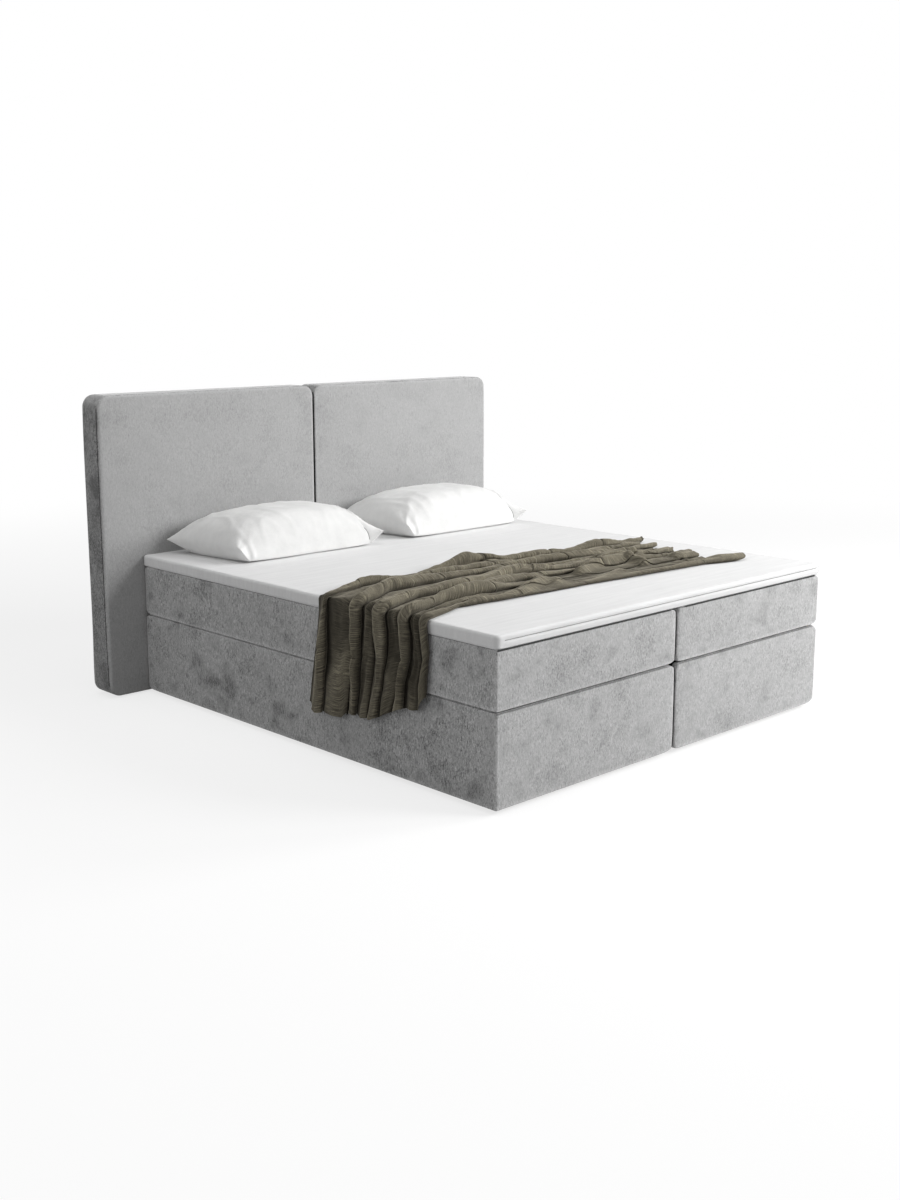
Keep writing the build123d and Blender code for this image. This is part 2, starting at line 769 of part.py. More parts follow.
def build_headboard_brackets():
    """Plates that fill the gap between the boxes' head ends and the headboard."""
    with BuildPart() as brackets:
        for side in sides.values():
            for x in bracket_xs:
                block(
                    across(side, x - bracket_width / 2, x + bracket_width / 2),
                    (head_y, headboard_front_y),
                    (bracket_level - bracket_height / 2, bracket_level + bracket_height / 2),
                )
                rod_along_y(side * x, bracket_level, (head_y - cut_overrun, headboard_front_y + cut_overrun),
                            bolt_radius + bolt_clearance, Mode.SUBTRACT)
    finish(brackets, "headboard_brackets")


def build_headboard_bolts():
    head_face_y = head_y - board_thickness
    with BuildPart() as bolts:
        for side in sides.values():
            for x in bracket_xs:
                head_start = head_face_y - bolt_head_height
                rod_along_y(side * x, bracket_level, (head_start, head_face_y), bolt_head_radius)
                rod_along_y(side * x, bracket_level, (head_start, bolt_end_y), bolt_radius)
    finish(bolts, "headboard_bolts")


def build_box_connectors():
    """Bolts and spacers that join the two boxes through their inner boards."""
    with BuildPart() as bolts:
        for place in connector_places:
            head_end = inner_board_face + bolt_head_height
            rod_along_x((place, connector_level), (-head_end, head_end), bolt_radius)
            for side in sides.values():
                head = across(side, inner_board_face, head_end)
                rod_along_x((place, connector_level), head, bolt_head_radius)
    finish(bolts, "box_connector_bolts")

    with BuildPart() as spacers:
        for place in connector_places:
            spot = (place, connector_level)
            rod_along_x(spot, (-inner_x, inner_x), spacer_radius)
            rod_along_x(spot, (-inner_x, inner_x), bolt_radius + bolt_clearance, Mode.SUBTRACT)
    finish(spacers, "box_connector_spacers")


for half, side in sides.items():
    build_box_side_pad(half, side)
    build_box_foot_pad(half, side)
    build_box_boards(half, side)
    build_box_floor(half, side)
    build_box_corner_posts(half, side)
    build_box_glides(half, side)
    build_lift_base_plates(half, side)
    build_lift_upper_arms(half, side)
    build_lift_lower_arms(half, side)
    build_lift_lid_plates(half, side)
    build_gas_spring_tubes(half, side)
    build_gas_spring_rods(half, side)
    build_lid_frame(half, side)
    build_mattress(half, side)
    build_pillow(half)
    build_headboard_half(half, side)

build_topper()
build_throw()
build_headboard_joining_plates()
build_headboard_glides()
build_headboard_brackets()
build_headboard_bolts()
build_box_connectors()
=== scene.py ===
"""The looks of a box spring bed: velvet boxes and mattresses, a thin topper, pillows and a draped throw."""

import json
import math

import bmesh
import bpy
import numpy as np
from mathutils import Matrix, Vector, noise


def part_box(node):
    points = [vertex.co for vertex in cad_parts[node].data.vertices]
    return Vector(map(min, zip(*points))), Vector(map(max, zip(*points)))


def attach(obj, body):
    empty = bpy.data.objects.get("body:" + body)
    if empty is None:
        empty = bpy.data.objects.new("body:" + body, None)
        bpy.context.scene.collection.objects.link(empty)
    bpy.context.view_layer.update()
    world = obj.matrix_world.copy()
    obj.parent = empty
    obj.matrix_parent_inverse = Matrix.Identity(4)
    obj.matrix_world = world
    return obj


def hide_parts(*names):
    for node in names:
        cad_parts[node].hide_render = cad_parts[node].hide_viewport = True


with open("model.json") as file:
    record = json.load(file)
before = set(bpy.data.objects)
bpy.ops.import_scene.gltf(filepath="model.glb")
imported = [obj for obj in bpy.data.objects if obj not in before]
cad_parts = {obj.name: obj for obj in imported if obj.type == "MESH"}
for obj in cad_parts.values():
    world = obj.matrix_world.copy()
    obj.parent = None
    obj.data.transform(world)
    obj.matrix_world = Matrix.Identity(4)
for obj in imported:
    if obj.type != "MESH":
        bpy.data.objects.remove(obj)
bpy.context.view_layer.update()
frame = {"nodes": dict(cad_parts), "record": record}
scene = bpy.context.scene

MM = 0.001
X, Y, Z = range(3)
HALVES = {"left": -1, "right": 1}

# Distances from a piece's edge, in millimetres, where its skin has points.
EDGE_STOPS = (0, 1.2, 2.6, 4.2, 6.2, 8.6, 11.5, 15, 19, 23.5, 28.5, 35, 43, 52, 64)
# How far apart the points lie between them: on thick pads, on the topper and through thin pieces.
PAD_STEP = 30 * MM
TOPPER_STEP = 28 * MM
THIN_STEP = 6 * MM
# How wide the shade or light along a piece's edges is.
RIM_WIDTH = 22 * MM

# Roundings of the upholstery, where covers meet at the bed's middle and at its corners.
BOX_MIDDLE_RADIUS = {"left": 38 * MM, "right": 20 * MM}
MATTRESS_MIDDLE_RADIUS = {"left": 36 * MM, "right": 20 * MM}
END_RADIUS = 30 * MM
UPRIGHT_RADIUS = 15 * MM
FAR_CORNER_RADIUS = 32 * MM
SOFTENING_ROUNDS = 26
# The size of the dents that hand-laid wadding leaves in the upholstery, and their depth.
DENT_SIZE = 160 * MM
DENT_DEPTH = 0.6 * MM

HEADBOARD_RADIUS = 48 * MM
# How far the headboard's outer sides crown outwards, and how far its cover hangs below the pad's solid.
SIDE_CROWN = 7 * MM
COVER_DROP = 9 * MM
RECESS_CLEARANCE = 0.6 * MM

TOPPER_RADIUS = 18 * MM
# The topper's zip lies this far below its top, and its foam hangs over the mattress by this much.
ZIP_DROP = 18 * MM
TOPPER_OVERHANG = 4.5 * MM

# Where the sewn line before a pillow's flat end lies, from -1 at the left to 1 at the right.
FLAP_LINE = 0.76
# The filling's full length in the same shares, if it didn't end at the sewn line.
FILLING_SPAN = 2.06
# The pillow's points lie closer together towards its edges, as on this share of a half circle.
BAG_CURVE = 0.9
# The case's front edge from its middle: its left corner, its sewn line and its right end; and its two depths.
CASE_LEFT = -317 * MM
CASE_SEAM = 347 * MM
CASE_END = 405 * MM
CASE_FRONT = 189.5 * MM
CASE_BACK = 245 * MM
# How much the case tapers on each side, from its front to its back.
CASE_TAPER = {"left": 57 * MM, "seam": 40 * MM, "right": 33 * MM}
# The middles of the creases that fan out from the corners.
CREASE_CORNERS = [(x, y) for x in (-330 * MM, 340 * MM) for y in (-190 * MM, 245 * MM)]

# The distance after which the throw's checks repeat, and where they fade, from the throw's right end.
CHECK_REPEAT = 330 * MM
CHECK_FADE = (1.62, 1.72)


def limits_of(node):
    low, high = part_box(node)
    return np.array(low), np.array(high)


MATTRESS_LOW, MATTRESS_HIGH = limits_of("right_mattress_cover")


def smooth_share(value):
    """A share from 0 to 1 that starts and ends gently."""
    value = np.clip(value, 0, 1)
    return value * value * (3 - 2 * value)


def bell(away, reach):
    """A share of 1 in place that fades to 0 on both sides within about twice the reach."""
    return np.exp(-((away / reach) ** 2))


def linear(code):
    """An sRGB hex colour as linear red, green, blue and alpha."""
    shares = [int(code[i : i + 2], 16) / 255 for i in (1, 3, 5)]
    return (*[s / 12.92 if s <= 0.04045 else ((s + 0.055) / 1.055) ** 2.4 for s in shares], 1.0)


class Nodes:
    """The node tree of a material or a world, which is filled step by step."""

    def __init__(self, owner):
        owner.use_nodes = True
        self.tree = owner.node_tree
        self.tree.nodes.clear()

    def add(self, kind, inputs=None, **settings):
        """Add a node with its settings; an input is given a value or the socket that feeds it."""
        node = self.tree.nodes.new("ShaderNode" + kind)
        for name, value in settings.items():
            setattr(node, name, value)
        for name, value in (inputs or {}).items():
            if isinstance(value, bpy.types.NodeSocket):
                self.tree.links.new(value, node.inputs[name])
            else:
                node.inputs[name].default_value = value
        return node

    def math(self, operation, *values):
        return self.add("Math", dict(enumerate(values)), operation=operation).outputs[0]

    def times(self, first, *others):
        """The product of all the values."""
        for value in others:
            first = self.math("MULTIPLY", first, value)
        return first

    def weigh(self, *pairs, plus=0.0):
        """The sum of patterns, each times its share, and a plain number."""
        total = plus
        for socket, share in pairs:
            total = self.math("MULTIPLY_ADD", socket, share, total)
        return total

    def remap(self, value, start, end, first=0.0, last=1.0, smooth=False):
        """Go from the first result to the last while the value goes from start to end."""
        inputs = {"Value": value, "From Min": start, "From Max": end, "To Min": first, "To Max": last}
        kind = "SMOOTHSTEP" if smooth else "LINEAR"
        return self.add("MapRange", inputs, interpolation_type=kind).outputs[0]

    def split(self, vector):
        return self.add("SeparateXYZ", {"Vector": vector}).outputs

    def lay_over(self, colour, share, code):
        """Cover a colour with another one, by a share."""
        return self.add("Mix", {"Factor": share, 6: colour, 7: linear(code)}, data_type="RGBA").outputs[2]

    def colours(self, factor, *steps):
        """Colours along a pattern's value: pairs of value and hex code."""
        node = self.add("ValToRGB", {"Fac": factor})
        ramp = node.color_ramp
        while len(ramp.elements) < len(steps):
            ramp.elements.new(0.5)
        for element, (value, code) in zip(ramp.elements, steps):
            element.position = value
            element.color = linear(code)
        return node.outputs["Color"]

    def seen_by_camera(self):
        """1 for what the camera sees, directly or mirrored, and 0 for what lights the bed."""
        path = self.add("LightPath").outputs
        return self.math("MAXIMUM", path["Is Camera Ray"], path["Is Glossy Ray"])


class Material(Nodes):
    """A material with one shader, whose patterns lie in the object's own metres."""

    def __init__(self, name, **shader_values):
        self.made = bpy.data.materials.new(name)
        super().__init__(self.made)
        values = {key.replace("_", " "): value for key, value in shader_values.items()}
        self.shader = self.add("BsdfPrincipled", values)
        self.add("OutputMaterial", {"Surface": self.shader.outputs["BSDF"]})
        self.place = self.add("TexCoord").outputs["Object"]

    def scaled(self, size_mm, place):
        """The place counted in cells of the given size in millimetres, one number or one for each axis."""
        sizes = (size_mm,) * 3 if isinstance(size_mm, (int, float)) else size_mm
        place = self.place if place is None else place
        return self.add("Mapping", {"Vector": place, "Scale": [1 / (s * MM) for s in sizes]}).outputs[0]

    def cells(self, size_mm, detail=2.0, roughness=0.5, distortion=0.0, place=None):
        """Soft noise with cells of the given size."""
        inputs = {"Vector": self.scaled(size_mm, place), "Scale": 1.0, "Detail": detail}
        inputs |= {"Roughness": roughness, "Distortion": distortion}
        return self.add("TexNoise", inputs).outputs["Fac"]

    def chips(self, size_mm, output):
        """Cells with straight borders, each with a colour and a distance from its middle."""
        return self.add("TexVoronoi", {"Vector": self.scaled(size_mm, None), "Scale": 1.0}).outputs[output]

    def attribute(self, name):
        return self.add("Attribute", attribute_name=name).outputs["Fac"]

    def finish(self, colour, height=None, distance_mm=0.0, strength=1.0):
        """Give the shader its colour, and a pattern that stands proud by a distance in millimetres."""
        self.tree.links.new(colour, self.shader.inputs["Base Color"])
        if height is not None:
            inputs = {"Height": height, "Distance": distance_mm * MM, "Strength": strength}
            self.tree.links.new(self.add("Bump", inputs).outputs["Normal"], self.shader.inputs["Normal"])
        return self.made


def velvet(name, tones, patch_mm, front_share, side_shade=0.0, seam_shade=0.0, lining_and_shade_level=0.0):
    """Short-pile polyester velvet: brushed pile shows dark patches with ragged edges, and pale rims of
    painted highlight.

    The front has a share of the sides' patches. The shades are painted shade on the sides and on the edges
    that turn in to the foot's seams. At the lining-and-shade level a piece has a dark underside, partly
    lining and partly painted shade."""
    look = Material(name, Roughness=0.85, Specular_IOR_Level=0.15, Sheen_Weight=0.6, Sheen_Roughness=0.3)
    clouds = look.cells(patch_mm * 2.4)
    patches = look.cells((patch_mm, patch_mm, patch_mm * 0.8), detail=3.5, roughness=0.55, distortion=0.3)
    # A brushed stroke is finer than the picture can show, so it is drawn about twice as coarse.
    strokes = look.cells((10, 10, 26), detail=4.0, roughness=0.65, distortion=1.8)
    hairs = look.cells((4, 4, 11), detail=2.0, roughness=0.6, distortion=1.2)
    rim = look.attribute("rim")
    _, normal_y, normal_z = look.split(look.add("NewGeometry").outputs["Normal"])

    # The patches are strongest on the sides, and weaker on the front and the back; so is the pile's grain.
    # This is partly real brushed pile and partly painted shading, for how the pile shows the light on each
    # face.
    on_front = look.remap(normal_y, -0.9, -0.4, front_share, 1.0)
    on_back = look.remap(normal_y, 0.3, 0.9, 1.0, 0.35)
    sideways = look.times(on_front, on_back)
    ragged = look.weigh((patches, 1.0), (clouds, 0.5), (strokes, 0.62), (hairs, 0.3))
    patch = look.remap(ragged, 1.19, 1.52, smooth=True)
    calm = look.remap(rim, 0.0, 1.0, 1.0, 0.3)
    brushed = look.times(patch, sideways, calm)
    nap = look.weigh((clouds, 0.50), (patches, 0.66), (strokes, 0.64), (hairs, 1.44), plus=-1.62)
    nap = look.times(nap, look.remap(sideways, 0.0, 1.0, 0.14, 1.0))

    # Painted shade darkens the foot's top edges where they turn in to a deep seam; other rims get a painted
    # highlight.
    seam_shadow = look.times(look.remap(rim, -1.0, -0.6, 1.0, 0.0), look.remap(normal_y, -0.6, -0.2, 1.0, 0.0))
    rim = look.math("MAXIMUM", rim, 0.0)
    # Painted shade on the sides, which leaves top faces and rims light.
    upright = look.remap(normal_z, 0.1, 0.5, 1.0, 0.0)
    shaded = look.times(sideways, look.math("SUBTRACT", 1.0, rim), upright)
    rim_highlight = look.math("POWER", rim, 2.5)
    shades = ((seam_shadow, -seam_shade), (shaded, -side_shade))
    nap = look.weigh((nap, 1.0), (brushed, -0.50), (rim_highlight, 0.26), *shades, plus=0.565)
    cloth = look.colours(nap, *zip((0.2, 0.55, 0.85), tones))

    # Faces that lie against the other half get painted shade for the narrow gap at the middle. The mattress's
    # underside has a dark lining, which fades towards the outer side: partly lining, partly painted shade in
    # the seam over the box.
    x, _, z = look.split(look.place)
    x = look.math("ABSOLUTE", x)
    inner, outer = MATTRESS_LOW[X], MATTRESS_HIGH[X]
    middle_gap_shade = look.remap(x, inner + 1.5 * MM, inner + 4 * MM, 1.0, 0.0)
    underside_lining_and_shade = look.math("COMPARE", z, lining_and_shade_level, 1.4 * MM)
    underside_lining_and_shade = look.times(underside_lining_and_shade, look.remap(x, outer - 20 * MM, outer - 7 * MM, 1.0, 0.3))
    cloth = look.lay_over(cloth, look.math("MAXIMUM", middle_gap_shade, underside_lining_and_shade), "#262626")
    return look.finish(cloth, look.weigh((strokes, 0.28), (hairs, 0.36)), 0.8, 0.8)


def percale():
    """A close cotton weave, which shows as a matt white with faint creases."""
    sheen = {"Sheen_Weight": 0.15, "Sheen_Roughness": 0.6}
    look = Material("cotton_percale", Roughness=0.9, Specular_IOR_Level=0.2, **sheen)
    creases = look.cells((70, 45, 60), detail=4.0, roughness=0.55)
    threads = look.cells(1.6, detail=1.0)
    cloth = look.colours(creases, (0.3, "#DEDEDD"), (0.7, "#E6E6E5"))
    return look.finish(cloth, look.weigh((creases, 1.0), (threads, 0.05)), 7.0, 0.35)


def jersey():
    """A fine knit over foam, smooth, with drag lines across the bed."""
    sheen = {"Sheen_Weight": 0.2, "Sheen_Roughness": 0.5}
    look = Material("stretch_jersey", Roughness=0.85, Specular_IOR_Level=0.2, **sheen)
    drags = look.cells((260, 14, 60), detail=3.0, roughness=0.6)
    dimples = look.cells(60, detail=2.0)
    ribs = look.cells(1.8, detail=1.0)
    knit = look.colours(drags, (0.3, "#DDDDDD"), (0.7, "#E5E5E5"))
    return look.finish(knit, look.weigh((drags, 0.8), (dimples, 0.6), (ribs, 0.08)), 3.0, 0.35)


def linen():
    """Slubbed linen: uneven pale threads across the folds, and wide checks of thick dark and pale threads."""
    sheen = {"Sheen_Weight": 0.38, "Sheen_Roughness": 0.4, "Sheen_Tint": linear("#E4DCC8")}
    look = Material("slubbed_linen", Roughness=0.9, Specular_IOR_Level=0.15, **sheen)
    cut = look.add("UVMap", uv_map="cut").outputs["UV"]
    slubs = look.cells((2.4, 70, 10), detail=3.0, roughness=0.65, place=cut)
    warp = look.cells((60, 2.4, 10), place=cut)
    shade = look.cells((240, 90, 90), detail=3.0, place=cut)
    waver = look.cells((40, 60, 10), place=cut)
    weave = look.weigh((slubs, 1.15), (warp, 0.16), (shade, 0.20), plus=-0.155)
    cloth = look.colours(weave, (0.38, "#332F27"), (0.60, "#666155"), (0.76, "#8C8673"), (0.90, "#BFB6A1"))
    run, width = look.split(cut)[:2]

    def thread_lines(across, shift, width_mm):
        """A value of 1 on threads that repeat with the checks, and 0 between them."""
        repeats = look.weigh((waver, 0.05), (across, 1 / CHECK_REPEAT), plus=shift)
        away = look.math("PINGPONG", repeats, 0.5)
        edge = width_mm * MM / CHECK_REPEAT
        return look.remap(away, edge * 0.4, edge, 1.0, 0.0)

    # The checks show on the bed's top; on the side they are lost in the slubs.
    on_top = look.remap(run, *CHECK_FADE, 0.9, 0.12)
    worn = look.times(look.remap(shade, 0.4, 0.56), on_top)
    dark_lines = look.times(thread_lines(run, 0.0, 3.0), on_top)
    pale_lines = look.math("MAXIMUM", thread_lines(run, 0.5, 2.2), thread_lines(width, 0.31, 1.6))
    pale_lines = look.times(pale_lines, worn)
    cloth = look.lay_over(cloth, pale_lines, "#9C9584")
    cloth = look.lay_over(cloth, dark_lines, "#2E2A23")
    # Painted shade darkens the tucks between the folds; the crests keep the cloth's own colour.
    tuck_shade = look.remap(look.attribute("crest"), 0.0, 1.0, 0.9, 0.0, smooth=True)
    cloth = look.lay_over(cloth, tuck_shade, "#1D1A15")
    relief = look.weigh((slubs, 0.5), (warp, 0.3), (pale_lines, 1.2), (dark_lines, -1.6))
    return look.finish(cloth, relief, 1.0, 0.8)


def chipboard():
    """Pressed chips of mixed length, raw on the board's edges."""
    look = Material("chipboard", Roughness=0.8, Specular_IOR_Level=0.3)
    tone = look.add("SeparateColor", {"Color": look.chips((5, 9, 4), "Color")}).outputs["Red"]
    board = look.colours(tone, (0.1, "#A68D68"), (0.5, "#BDA47C"), (0.9, "#D0BB94"))
    # Near the foot's middle seam, the board's end is drawn dark.
    x, y, _ = look.split(look.place)
    near = look.math("LESS_THAN", look.math("ABSOLUTE", x), 50 * MM)
    foot_y = limits_of("right_box_foot_board")[1][Y] - 1.5 * MM
    dark_near_seam = look.times(near, look.math("LESS_THAN", y, foot_y))
    return look.finish(look.lay_over(board, dark_near_seam, "#2A2A2A"), tone, 0.3, 0.5)


def pine():
    """Planed pine: yellow softwood with brown growth lines along the rail."""
    look = Material("planed_pine", Roughness=0.6, Specular_IOR_Level=0.35)
    grain = look.cells((90, 420, 7), detail=3.0, roughness=0.6)
    bands = look.math("PINGPONG", look.times(grain, 9.0), 0.5)
    wood = look.colours(bands, (0.0, "#D6B57E"), (0.35, "#DDBF8C"), (0.5, "#C39A60"))
    return look.finish(wood, bands, 0.2, 0.3)


def spring_pockets():
    """Non-woven spring pockets: white, with a point-bonded dimple pattern."""
    look = Material("non_woven_pockets", Roughness=0.9, Specular_IOR_Level=0.15)
    bonds = look.chips(4, "Distance")
    return look.finish(look.colours(bonds, (0.1, "#D2D2D2"), (0.5, "#E8E8E8")), bonds, 0.4, 0.5)


def mottled(name, shader_values, size_mm, dark, light, relief=(), edge=0.3, detail=1.0, roughness=0.5):
    """A material with one soft pattern, for its colour and for its relief in millimetres and strength.

    The two colours lie at the edge of the pattern's values and as far from their other end."""
    look = Material(name, **shader_values)
    pattern = look.cells(size_mm, detail, roughness)
    colour = look.colours(pattern, (edge, dark), (1 - edge, light))
    return look.finish(colour, pattern if relief else None, *relief)


def thread(name, dark, light):
    """Spun polyester thread: matt, with a fine twist."""
    return mottled(name, {"Roughness": 0.8, "Specular_IOR_Level": 0.2}, 2.0, dark, light, edge=0.35)


def hardboard():
    """Brown fibre board, smooth and slightly mottled."""
    shader = {"Roughness": 0.55, "Specular_IOR_Level": 0.4}
    return mottled("hardboard", shader, 5, "#6A4C33", "#82603F", (0.15, 0.4), detail=4.0, roughness=0.7)


def birch():
    """Sprung birch slats: pale lacquered veneer with a fine straight figure."""
    shader = {"Roughness": 0.4, "Specular_IOR_Level": 0.5, "Coat_Weight": 0.15}
    figure = {"relief": (0.1, 0.3), "detail": 3.0, "roughness": 0.6}
    return mottled("lacquered_birch", shader, (300, 5, 5), "#D9BE92", "#E8D2AC", **figure)


def black_plastic():
    """Moulded polypropylene: black with a fine spark-eroded grain."""
    shader = {"Roughness": 0.55, "IOR": 1.49}
    return mottled("moulded_polypropylene", shader, 0.8, "#1B1B1B", "#242424", (0.08, 0.5), detail=2.0)


def zinc_steel():
    """Zinc-plated pressed steel: grey with a faint spangle."""
    shader = {"Metallic": 1.0, "Roughness": 0.38}
    return mottled("zinc_plated_steel", shader, 9, "#B4B6B8", "#C9CBCC", (0.05, 0.3), edge=0.35, detail=3.0)


def black_paint():
    """Stoved black paint on the gas spring's tube, glossy with a faint orange peel."""
    shader = {"Roughness": 0.3, "IOR": 1.5, "Coat_Weight": 0.3}
    return mottled("stoved_black_paint", shader, 1.5, "#121212", "#191919", (0.05, 0.4))


def polished_rod():
    """Ground and chromed piston rod: bright, with a very fine grain."""
    shader = {"Metallic": 1.0, "Roughness": 0.12}
    return mottled("chromed_rod", shader, 0.6, "#D6D8DA", "#E2E4E6", (0.01, 0.3))


def foam():
    """Cut polyether foam: cream, with open pores."""
    shader = {"Roughness": 0.95, "Specular_IOR_Level": 0.1}
    pores = {"relief": (0.6, 0.6), "edge": 0.35, "detail": 3.0, "roughness": 0.7}
    return mottled("polyether_foam", shader, 3.0, "#D9D3BC", "#EBE6D4", **pores)


def black_felt():
    """Needle felt between the boxes: black and fuzzy."""
    shader = {"Roughness": 1.0, "Specular_IOR_Level": 0.05, "Sheen_Weight": 0.4}
    fuzz = {"relief": (0.4, 0.6), "detail": 4.0, "roughness": 0.7}
    return mottled("needle_felt", shader, (6, 2, 2), "#151515", "#2A2A2A", **fuzz)


def build_materials():
    """Each slot's material, and the headboard's velvet and the velvet's thread, which share its slot."""
    panel_tones = ("#6C6C6C", "#B2B2B2", "#DADADA")
    headboard_tones = ("#6A6A6A", "#ADADAD", "#D0D0D0")
    shades = {"seam_shade": 0.6, "lining_and_shade_level": MATTRESS_LOW[Z] + 0.1 * MM}
    return {
        "grey_velvet": velvet("clouded_velvet", panel_tones, 120, front_share=0.54, **shades),
        "headboard_velvet": velvet("headboard_velvet", headboard_tones, 150, 0.2, side_shade=0.16),
        "grey_thread": thread("dark_thread_and_seam_shade", "#343434", "#404040"),
        "sewing_thread": thread("spun_thread", "#909090", "#A2A2A2"),
        "white_cotton": percale(),
        "white_jersey": jersey(),
        "olive_linen": linen(),
        "chipboard": chipboard(),
        "hardboard": hardboard(),
        "pine": pine(),
        "birch_slats": birch(),
        "black_plastic": black_plastic(),
        "zinc_steel": zinc_steel(),
        "black_paint": black_paint(),
        "polished_rod": polished_rod(),
        "foam": foam(),
        "pocket_springs": spring_pockets(),
        "black_felt": black_felt(),
    }


def stops(low, high, step):
    """Places along one side of a piece: close together near its ends, and a step apart between them."""
    near = [s * MM for s in EDGE_STOPS if s * MM < (high - low) * 0.42]
    count = max(2, round((high - low - 2 * near[-1]) / step))
    middle = np.linspace(low + near[-1], high - near[-1], count + 1)[1:-1]
    return np.concatenate([low + np.array(near), middle, high - np.array(near[::-1])])


def skin(xs, ys, zs):
    """The points and faces of a box's skin, with points at the given stops."""
    number = {}
    points = []

    def at(i, j, k):
        if (i, j, k) not in number:
            number[i, j, k] = len(points)
            points.append((xs[i], ys[j], zs[k]))
        return number[i, j, k]

    nx, ny, nz = len(xs) - 1, len(ys) - 1, len(zs) - 1
    faces = []
    for i in range(nx):
        for j in range(ny):
            faces.append((at(i, j, 0), at(i, j + 1, 0), at(i + 1, j + 1, 0), at(i + 1, j, 0)))
            faces.append((at(i, j, nz), at(i + 1, j, nz), at(i + 1, j + 1, nz), at(i, j + 1, nz)))
    for i in range(nx):
        for k in range(nz):
            faces.append((at(i, 0, k), at(i + 1, 0, k), at(i + 1, 0, k + 1), at(i, 0, k + 1)))
            faces.append((at(i, ny, k), at(i, ny, k + 1), at(i + 1, ny, k + 1), at(i + 1, ny, k)))
    for j in range(ny):
        for k in range(nz):
            faces.append((at(0, j, k), at(0, j, k + 1), at(0, j + 1, k + 1), at(0, j + 1, k)))
            faces.append((at(nx, j, k), at(nx, j + 1, k), at(nx, j + 1, k + 1), at(nx, j, k + 1)))
    return np.array(points, float), faces


def block(low, high, *steps):
    """The skin of a box between two corners, with a step for each axis."""
    return skin(*[stops(start, end, step) for start, end, step in zip(low, high, steps)])


def quarter_circle(u, v):
    """Where a square corner of the unit square is drawn in to a circle: inside it, and by what share."""
    inside = (u > 0) & (v > 0)
    length = np.hypot(u, v)
    return inside, np.where(inside, np.maximum(u, v) / np.where(length > 0, length, 1), 1.0)


def round_edge(points, axes, corner, towards, radius):
    """Draw the square corner of a piece, seen along its third axis, in to a quarter circle."""
    u, v = [1 - (points[:, axis] - corner[n]) * towards[n] / radius for n, axis in enumerate(axes)]
    inside, share = quarter_circle(u, v)
    for n, (axis, away) in enumerate(zip(axes, (u, v))):
        rounded = corner[n] + towards[n] * radius * (1 - away * share)
        points[:, axis] = np.where(inside, rounded, points[:, axis])


def round_corners(points, axes, limits, radius):
    """Round the four corners of a piece, seen along its third axis."""
    (low_a, high_a), (low_b, high_b) = limits
    for a, towards_a in ((low_a, 1), (high_a, -1)):
        for b, towards_b in ((low_b, 1), (high_b, -1)):
            round_edge(points, axes, (a, b), (towards_a, towards_b), radius)


def round_rim(points, axes, limits, corner_radius, depth_axis, face, inwards, radius):
    """Round the rim between a face and the sides of a piece whose outline is a rounded rectangle."""
    axes = list(axes)
    low, high = np.array(limits).T
    offset = points[:, axes] - (low + high) / 2
    beyond = np.abs(offset) - (high - low) / 2 + corner_radius
    outside = np.maximum(beyond, 0)
    reach = np.hypot(*outside.T)
    distance = reach + np.minimum(beyond.max(axis=1), 0) - corner_radius
    along_first = beyond[:, 0] >= beyond[:, 1]
    straight = np.stack([np.where(along_first, 1.0, 0.0), np.where(along_first, 0.0, 1.0)], axis=1)
    in_corner = (beyond > 0).all(axis=1)
    curved = outside / np.where(reach > 0, reach, 1)[:, None]
    outwards = np.where(in_corner[:, None], curved, straight) * np.sign(offset)
    u = 1 + distance / radius
    v = 1 - (points[:, depth_axis] - face) * inwards / radius
    inside, share = quarter_circle(u, v)
    points[:, axes] += outwards * np.where(inside, (u * share - u) * radius, 0.0)[:, None]
    rounded = face + inwards * radius * (1 - v * share)
    points[:, depth_axis] = np.where(inside, rounded, points[:, depth_axis])


def round_far_corner(points, reach, low, high):
    """Round the right half's outer foot corner at its top and bottom.

    The reach is each point's distance from that upright corner."""
    share = np.clip(1 - reach / FAR_CORNER_RADIUS, 0, 1)
    drop = FAR_CORNER_RADIUS * (1 - np.sqrt(1 - share**2))
    height = points[:, Z].copy()
    for edge, towards in ((high, -1), (low, 1)):
        points[:, Z] += towards * drop * np.clip(1 - np.abs(height - edge) / (2 * FAR_CORNER_RADIUS), 0, 1)


def relax(points, faces, rounds):
    """Even out the skin, which rounds its sharp edges off a little with each round."""
    pairs = set()
    for face in faces:
        for first, second in zip(face, face[1:] + face[:1]):
            pairs.add((min(first, second), max(first, second)))
    pairs = np.array(sorted(pairs))
    count = len(points)
    degree = np.bincount(pairs.ravel(), minlength=count)[:, None]
    for _ in range(rounds):
        total = np.zeros_like(points)
        for axis in (X, Y, Z):
            total[:, axis] = np.bincount(pairs[:, 0], points[pairs[:, 1], axis], count)
            total[:, axis] += np.bincount(pairs[:, 1], points[pairs[:, 0], axis], count)
        points += 0.5 * (total / degree - points)


def crowned(share, power=6):
    """How far a face crowns at a share of its width: 1 in its middle and 0 at its edges."""
    return 1 - (2 * share - 1) ** power


def swell(points, axis, towards, amount):
    """Let a face crown outwards: most in its middle, and not at all along its edges."""
    low, high = points.min(axis=0), points.max(axis=0)
    place = (points - low) / (high - low)
    across, along = [crowned(place[:, other]) for other in (X, Y, Z) if other != axis]
    depth = place[:, axis] if towards > 0 else 1 - place[:, axis]
    points[:, axis] += towards * amount * across * along * depth**4


def unevenness(points, size, amount, seed):
    """Soft dents and swells, as hand-laid wadding gives."""
    where = Vector((seed * 7.31, seed * 3.17, seed * 1.73))
    return np.array([noise.noise(Vector(p) / size + where) for p in points]) * amount


